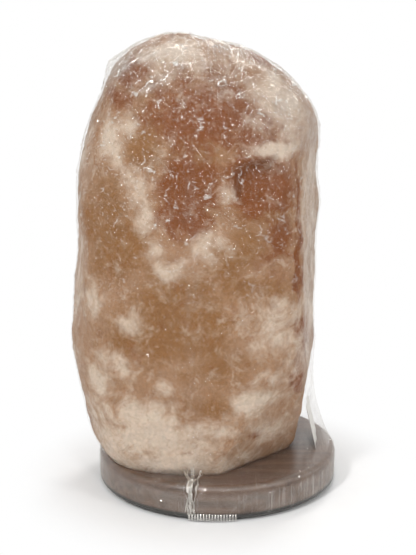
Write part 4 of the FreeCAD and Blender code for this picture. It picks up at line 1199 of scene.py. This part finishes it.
class SALTLAMP_OT_bulb(bpy.types.Operator):
    """Blow the bulb's rounded glass, and roll the thread in its metal cap"""

    bl_idname = "saltlamp.bulb"
    bl_label = "Bulb"

    neck = 6.3
    glass_wall = 0.8
    flare = 14.0
    cap_wall = 0.35
    thread_pitch = 2.8
    thread_depth = 0.5

    def execute(self, context):
        self.envelope()
        self.cap()
        return {"FINISHED"}

    def profile(self, low, high, shoulder, inset):
        """The glass from its neck up over its crown, drawn in by a wall."""
        neck, wide = self.neck - inset, high.x - inset
        points = [(neck, low.z), (neck, shoulder)]
        for share in np.linspace(0, 1, 15)[1:]:
            points.append((neck + (wide - neck) * float(step_up(share, 0, 1)), shoulder + share * self.flare))
        return points + rounded((0.0, high.z - high.x), wide, 0, 87, 18)

    def envelope(self):
        low, high = (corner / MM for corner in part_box("bulb_glass"))
        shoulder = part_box("bulb_cap")[1].z / MM + self.glass_wall
        outer = self.profile(low, high, shoulder, 0.0)
        inner = self.profile(low, high, shoulder, self.glass_wall)
        obj = ring_mesh("bulb_envelope", turned_rings(inner[::-1] + outer, 64), True, True)
        weld(obj)
        obj.data.shade_smooth()
        dress(obj, bpy.data.materials["Bulb glass"], "bulb", "bulb_clear", "bulb_glass")

    def cap(self):
        """The rolled cap: its thread runs round it, with a plain band above and below."""
        low, high = (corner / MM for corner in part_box("bulb_cap"))
        columns = 72
        height = np.linspace(low.z, high.z, 91)[:, None]
        turn = np.arange(columns)[None] / columns
        threaded = step_up(height, low.z + 1.5, low.z + 3.0)
        threaded = threaded * (1 - step_up(height, high.z - 4.5, high.z - 3.0))
        groove = 0.5 - 0.5 * np.cos(2 * math.pi * (height / self.thread_pitch - turn))
        radius = high.x - self.thread_depth * groove * threaded
        inner = radius - self.cap_wall
        both = np.concatenate([inner[::-1], radius])
        tall = np.concatenate([height[::-1], height]) + turn * 0
        angle = turn * 2 * math.pi
        rings = np.stack([both * np.cos(angle), both * np.sin(angle), tall], axis=2)
        obj = ring_mesh("threaded_cap", rings)
        close_ends(obj, len(rings), columns)
        dress(obj, bpy.data.materials["Bulb cap metal"], "bulb", "bulb_metal", "bulb_cap")


def close_ends(obj, rows, columns):
    """Join the first ring of a mesh of rings to its last, which lies round it."""
    mesh = bmesh.new()
    mesh.from_mesh(obj.data)
    mesh.verts.ensure_lookup_table()
    last = (rows - 1) * columns
    for one in range(columns):
        two = (one + 1) % columns
        mesh.faces.new([mesh.verts[k] for k in (one, two, last + two, last + one)])
    bmesh.ops.recalc_face_normals(mesh, faces=mesh.faces)
    mesh.to_mesh(obj.data)
    mesh.free()
    obj.data.shade_smooth()


class SALTLAMP_OT_stage(bpy.types.Operator):
    """Set the floor, the lights and the camera"""

    bl_idname = "saltlamp.stage"
    bl_label = "Stage"

    def execute(self, context):
        sizes = context.scene.salt_lamp_stage
        scene = context.scene
        scene.view_settings.view_transform = "Standard"
        self.world(scene, sizes)
        self.floor(sizes)
        self.lamp("key", (-0.62, -0.95, 1.05), 0.16, sizes.key)
        self.lamp("fill", (0.95, -0.70, 0.75), 0.20, sizes.fill)
        self.lamp("back", (0.25, 0.75, 1.15), 0.35, sizes.back)
        self.lamp("window", (0.30, -1.15, 0.95), 0.12, sizes.window)
        data = bpy.data.cameras.new("camera")
        data.lens = 78.23
        data.sensor_width = 36.0
        data.shift_x = -0.01676
        data.shift_y = 0.01315
        camera = bpy.data.objects.new("camera", data)
        camera.location = (0.0, -0.7274, 0.3077)
        camera.rotation_euler = (math.radians(75.9), 0.0, 0.0)
        scene.collection.objects.link(camera)
        scene.camera = camera
        return {"FINISHED"}

    def seen(self, tree):
        """1 for rays from the camera, off gloss and through glass, and 0 for the others."""
        rays = add(tree, "ShaderNodeLightPath").outputs
        share = math_node(tree, "ADD", rays["Is Camera Ray"], rays["Is Glossy Ray"], clamp=True)
        return math_node(tree, "ADD", share, rays["Is Transmission Ray"], clamp=True)

    def world(self, scene, sizes):
        world = bpy.data.worlds.new("daylight")
        world.use_nodes = True
        scene.world = world
        tree = world.node_tree
        background = tree.nodes["Background"]
        background.inputs["Color"].default_value = (1.0, 1.0, 1.0, 1.0)
        strength = add(
            tree, "ShaderNodeMapRange",
            {"Value": self.seen(tree), "To Min": sizes.daylight, "To Max": 1.0},
        )
        tree.links.new(strength.outputs["Result"], background.inputs["Strength"])

    def floor(self, sizes):
        # It is open under the recess, where no view from above shows it, so that light gets in.
        rings = turned_rings([(radius, 0.0) for radius in (1500.0, 900.0, 400.0, 120.0, 51.0)], 96)
        obj = ring_mesh("floor", rings)
        material, tree, shader = new_material("Pale floor")
        fine = place_group(tree, grain_group(), {"Scale": 60.0})
        tint = mix_colour(tree, 0.03, tuple(sizes.floor), fine.outputs["Height"])
        tree.links.new(tint, shader.inputs["Base Color"])
        shader.inputs["Roughness"].default_value = 0.8
        far = add(tree, "ShaderNodeVectorMath", {0: place_of(tree)}, operation="LENGTH")
        fade = add(
            tree, "ShaderNodeMapRange",
            {"Value": far.outputs["Value"], "From Min": 0.077, "From Max": 0.135},
            interpolation_type="SMOOTHSTEP",
        ).outputs["Result"]
        share = math_node(tree, "MULTIPLY", fade, self.seen(tree))
        glow = add(tree, "ShaderNodeEmission", {"Color": (1.0, 1.0, 1.0, 1.0), "Strength": 1.0})
        mixed = add(
            tree, "ShaderNodeMixShader", {0: share, 1: shader.outputs[0], 2: glow.outputs[0]}
        )
        under = add(tree, "ShaderNodeNewGeometry").outputs["Backfacing"]
        clear = add(tree, "ShaderNodeBsdfTransparent")
        seen = add(tree, "ShaderNodeMixShader", {0: under, 1: mixed.outputs[0], 2: clear.outputs[0]})
        tree.links.new(seen.outputs[0], tree.nodes["Material Output"].inputs["Surface"])
        obj.data.materials.append(material)

    def lamp(self, name, place, size, power):
        data = bpy.data.lights.new(name, "AREA")
        data.size = size
        data.energy = power
        lamp = bpy.data.objects.new(name, data)
        lamp.location = place
        aim = Vector((0.0, 0.0, 0.13)) - Vector(place)
        lamp.rotation_euler = aim.to_track_quat("-Z", "Y").to_euler()
        bpy.context.scene.collection.objects.link(lamp)


# ---- registration ----

OPERATORS = (
    SALTLAMP_OT_salt_crystal,
    SALTLAMP_OT_shrink_film,
    SALTLAMP_OT_film_seal,
    SALTLAMP_OT_film_knot,
    SALTLAMP_OT_wooden_base,
    SALTLAMP_OT_paper_label,
    SALTLAMP_OT_fittings,
    SALTLAMP_OT_bulb,
    SALTLAMP_OT_stage,
)
GROUPS = {
    "salt_lamp_salt": SaltSizes,
    "salt_lamp_film": FilmSizes,
    "salt_lamp_base": BaseSizes,
    "salt_lamp_stage": StageSizes,
}


class SALTLAMP_PT_panel(bpy.types.Panel):
    """The pieces of the lamp"""

    bl_label = "Salt crystal lamp"
    bl_space_type = "VIEW_3D"
    bl_region_type = "UI"
    bl_category = "Salt Lamp"

    def draw(self, context):
        for operator in OPERATORS:
            self.layout.operator(operator.bl_idname)
        for name, group in GROUPS.items():
            box = self.layout.box()
            for key in group.__annotations__:
                box.prop(getattr(context.scene, name), key)


def register():
    for group in GROUPS.values():
        bpy.utils.register_class(group)
    for operator in OPERATORS:
        bpy.utils.register_class(operator)
    bpy.utils.register_class(SALTLAMP_PT_panel)
    for name, group in GROUPS.items():
        setattr(bpy.types.Scene, name, PointerProperty(type=group))


def unregister():
    for name in GROUPS:
        delattr(bpy.types.Scene, name)
    bpy.utils.unregister_class(SALTLAMP_PT_panel)
    for operator in reversed(OPERATORS):
        bpy.utils.unregister_class(operator)
    for group in reversed(GROUPS.values()):
        bpy.utils.unregister_class(group)


def main():
    register()
    for operator in OPERATORS:
        group, name = operator.bl_idname.split(".")
        getattr(getattr(bpy.ops, group), name)()


if __name__ == "__main__":
    main()
